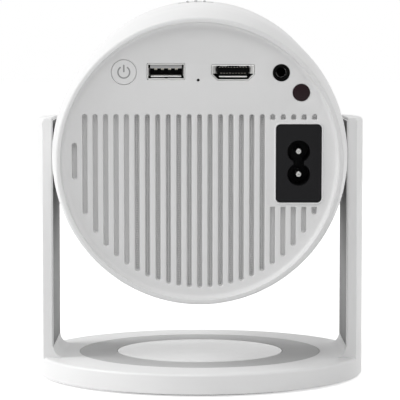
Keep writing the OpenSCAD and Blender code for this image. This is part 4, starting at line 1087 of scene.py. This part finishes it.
def figure_8(x, v, radius, spacing, waist):
    """Two circles joined by a waist, as a function of how far the outline grows: each circle's arc
    stops where it meets the waist's straight side."""
    def outline(grow):
        """The upper arc, then the lower arc, with the waist's sides between them."""
        size = radius + grow
        side = waist / 2 + grow
        meet = math.acos(side / size)
        angle = np.linspace(-meet, math.pi + meet, 33)
        upper = np.stack([size * np.cos(angle), size * np.sin(angle) + spacing / 2], -1)
        return np.concatenate([upper, -upper]) + np.array([x, v])
    return outline


class PROJECTOR_OT_inlet(bpy.types.Operator):
    """Figure-8 mains inlet: black body with a deep cavity, and two round pins"""
    bl_idname = "projector.inlet"
    bl_label = "Mains inlet"

    def execute(self, context):
        """The body is a profile carried round a rectangle, and its cavity one carried round two
        joined circles."""
        x, v, width, height = INLET
        front = FACE - 0.2
        end = FACE + 17.0
        floor = FACE + 14.0
        soft = 0.3
        lip = 0.25
        plate = box_outline(x, v, width, height, 1.4, 6)
        cavity = figure_8(x, v + 0.1, 3.85, 7.8, 3.6)
        rounded = arc((-soft, front + soft), soft, 0, -90, 4)
        mouth = arc((lip, front + lip), lip, 270, 180, 4)
        parts = [
            carried(plate, [(0, end), *rounded]), lid(plate, 0, end),
            carried(cavity, [*mouth, (0, floor)]), lid(cavity, 0, floor),
            flat_with_holes(plate(-soft), [cavity(lip)], front)]
        make_piece("inlet_black", parts, "drum", "inlet_black", "inlet_body")
        tip, root = FACE + 1.3, FACE + 20
        pin = np.concatenate([
            [[0, tip + 0.5], [0.25, tip + 0.45], [0.4, tip + 0.2]],
            arc((0.6, tip + 0.45), 0.45, 235, 360, 8), [[1.05, root], [0, root]]])
        parts = [revolved(pin, along_drum(x, v + 0.1 + side * 3.92), 32) for side in (-1, 1)]
        make_piece("inlet_contacts", parts, "drum", "pin_nickel", "inlet_pins")
        return {"FINISHED"}


# ---------- Optics and insides ----------

class PROJECTOR_OT_optics(bpy.types.Operator):
    """Lens barrel with its fine ridges, and the glass"""
    bl_idname = "projector.optics"
    bl_label = "Lens"

    def execute(self, context):
        """The ridges are a saw-tooth line turned about the lens axis."""
        softened("lens_barrel", "lens_group", edge=0.0003)
        for node in ("front_lens", "middle_lens", "rear_lens"):
            softened(node, "lens_group")
        front = drum_span("lens_barrel")[1][1] / MM
        bore = 21.8
        count = 6
        step = 0.42
        teeth = np.stack([
            np.tile([bore - 0.05, bore - 0.75], count),
            front - 0.9 - np.arange(2 * count) * step], -1)
        start = [bore + 0.02, front - 0.6]
        ridges = np.concatenate([[start], teeth, [[bore + 0.02, front - 1.0 - 2 * count * step], start]])
        make_piece("barrel_ridges", [revolved(ridges, along_drum(), 96)], "lens_group", "black_plastic",
                   slot=SLOT_OF["lens_barrel"], sharp=20.0)
        return {"FINISHED"}


class PROJECTOR_OT_insides(bpy.types.Operator):
    """Parts inside the drum, with their flat faces joined and shaded smooth"""
    bl_idname = "projector.insides"
    bl_label = "Insides"

    def execute(self, context):
        for node in ("speaker_cone", "speaker_frame", "heat_sink", "fan_frame", "lens_mount",
                     "power_board_parts", "inlet_leads", "engine_housing", "led_reflector"):
            softened(node, "drum")
        softened("fan_rotor", "rotor")
        softened("focus_ring", "ring")
        return {"FINISHED"}


# ---------- Studio ----------

def area_light(name, place, aim, size, power, mirrored):
    """A soft square light that points at aim; mirrored tells whether gloss shows it."""
    data = bpy.data.lights.new(name, "AREA")
    data.size = size
    data.energy = power
    light = placed(name, data)
    light.location = place
    light.visible_glossy = mirrored
    light.rotation_euler = (Vector(aim) - Vector(place)).to_track_quat("-Z", "Y").to_euler()


def seen_rays(tree):
    """1 for rays from the camera, from gloss and through glass, and 0 for those that light things."""
    path = tree.nodes.new("ShaderNodeLightPath").outputs
    mirrored = calculate(tree, "MAXIMUM", path["Is Glossy Ray"], path["Is Transmission Ray"])
    return calculate(tree, "MAXIMUM", path["Is Camera Ray"], mirrored)


def white_world(ambient):
    """A room that lights evenly and is seen as white."""
    world = bpy.data.worlds.new("White room")
    bpy.context.scene.world = world
    world.use_nodes = True
    tree = world.node_tree
    fill(tree, tree.nodes["Background"].inputs, {
        "Color": (1, 1, 1, 1), "Strength": ramp(tree, seen_rays(tree), 0.0, 1.0, ambient, 1.0)})


def white_floor(half, glow):
    """A wide pale floor; its glow only shows to the camera, so the object's shadow stays."""
    corners = [(-half, -half, 0), (half, -half, 0), (half, half, 0), (-half, half, 0)]
    mesh = bpy.data.meshes.new("Floor")
    mesh.from_pydata(corners, [], [(0, 1, 2, 3)])
    floor = placed("Floor", mesh)
    material, tree, shader, _ = new_material("floor_white")
    fill(tree, shader, {
        "Base Color": (0.8, 0.8, 0.8, 1), "Roughness": 0.9, "Emission Color": (1, 1, 1, 1),
        "Emission Strength": calculate(tree, "MULTIPLY", seen_rays(tree), glow)})
    mesh.materials.append(material)


class PROJECTOR_OT_studio(bpy.types.Operator):
    """Floor, white room, soft lights and the camera"""
    bl_idname = "projector.studio"
    bl_label = "Studio"

    def execute(self, context):
        studio = context.scene.projector_studio
        context.scene.view_settings.view_transform = "Standard"
        white_world(studio.ambient)
        white_floor(half=6.0, glow=0.65)
        drum_low = (0, 0, 0.07)
        for name, place, size, power, mirrored in (
                ("Key", (-0.95, -0.066, 0.62), 0.4, studio.key_power, True),
                ("Side", (-0.835, -0.338, 0.70), 0.35, studio.side_power, True),
                ("Front", (0.0, -0.707, 0.913), 0.5, studio.front_power, True),
                ("Fill", (1.03, -0.09, 0.446), 0.5, studio.fill_power, True),
                ("Back", (0.0, 0.95, 0.42), 0.4, studio.back_power, False)):
            area_light(name, place, drum_low, size, power, mirrored)
        data = bpy.data.cameras.new("Camera")
        data.lens = studio.lens
        data.sensor_width = 36.0
        data.clip_end = 50.0
        camera = placed("Camera", data)
        aside = 0.0001
        camera.location = (aside, -studio.distance, studio.height)
        camera.rotation_euler = (math.pi / 2 - studio.pitch, 0, 0)
        context.scene.camera = camera
        return {"FINISHED"}


class PROJECTOR_OT_finishes(bpy.types.Operator):
    """Materials of every CAD node"""
    bl_idname = "projector.finishes"
    bl_label = "Finishes"

    def execute(self, context):
        GROUPS.update(build_groups())
        FINISHES.update(build_finishes(context.scene.projector_finishes))
        for node in frame["nodes"]:
            finish_node(node)
        return {"FINISHED"}


class PROJECTOR_PT_sidebar(bpy.types.Panel):
    """Lists the pieces"""
    bl_label = "Projector"
    bl_space_type = "VIEW_3D"
    bl_region_type = "UI"
    bl_category = "Projector"

    def draw(self, context):
        for step in STEPS:
            self.layout.operator(step.bl_idname)


STEPS = (
    PROJECTOR_OT_finishes, PROJECTOR_OT_stand, PROJECTOR_OT_inlays, PROJECTOR_OT_rear_panel,
    PROJECTOR_OT_casing, PROJECTOR_OT_power_button, PROJECTOR_OT_data_socket, PROJECTOR_OT_video_socket,
    PROJECTOR_OT_round_ports, PROJECTOR_OT_inlet, PROJECTOR_OT_optics, PROJECTOR_OT_insides,
    PROJECTOR_OT_studio)
SETTINGS = {"projector_finishes": ProjectorFinishes, "projector_detail": ProjectorDetail,
            "projector_studio": ProjectorStudio}
CLASSES = (*SETTINGS.values(), *STEPS, PROJECTOR_PT_sidebar)


def register():
    """Registers the classes and hangs the settings on the scene."""
    for cls in CLASSES:
        bpy.utils.register_class(cls)
    for name, group in SETTINGS.items():
        setattr(bpy.types.Scene, name, bpy.props.PointerProperty(type=group))


def unregister():
    """Takes the settings and the classes away again."""
    for name in SETTINGS:
        delattr(bpy.types.Scene, name)
    for cls in reversed(CLASSES):
        bpy.utils.unregister_class(cls)


def main():
    """Builds every piece in order."""
    register()
    bpy.ops.projector.finishes()
    bpy.ops.projector.stand()
    bpy.ops.projector.inlays()
    bpy.ops.projector.rear_panel()
    bpy.ops.projector.casing()
    bpy.ops.projector.power_button()
    bpy.ops.projector.data_socket()
    bpy.ops.projector.video_socket()
    bpy.ops.projector.round_ports()
    bpy.ops.projector.inlet()
    bpy.ops.projector.optics()
    bpy.ops.projector.insides()
    bpy.ops.projector.studio()


if __name__ == "__main__":
    main()
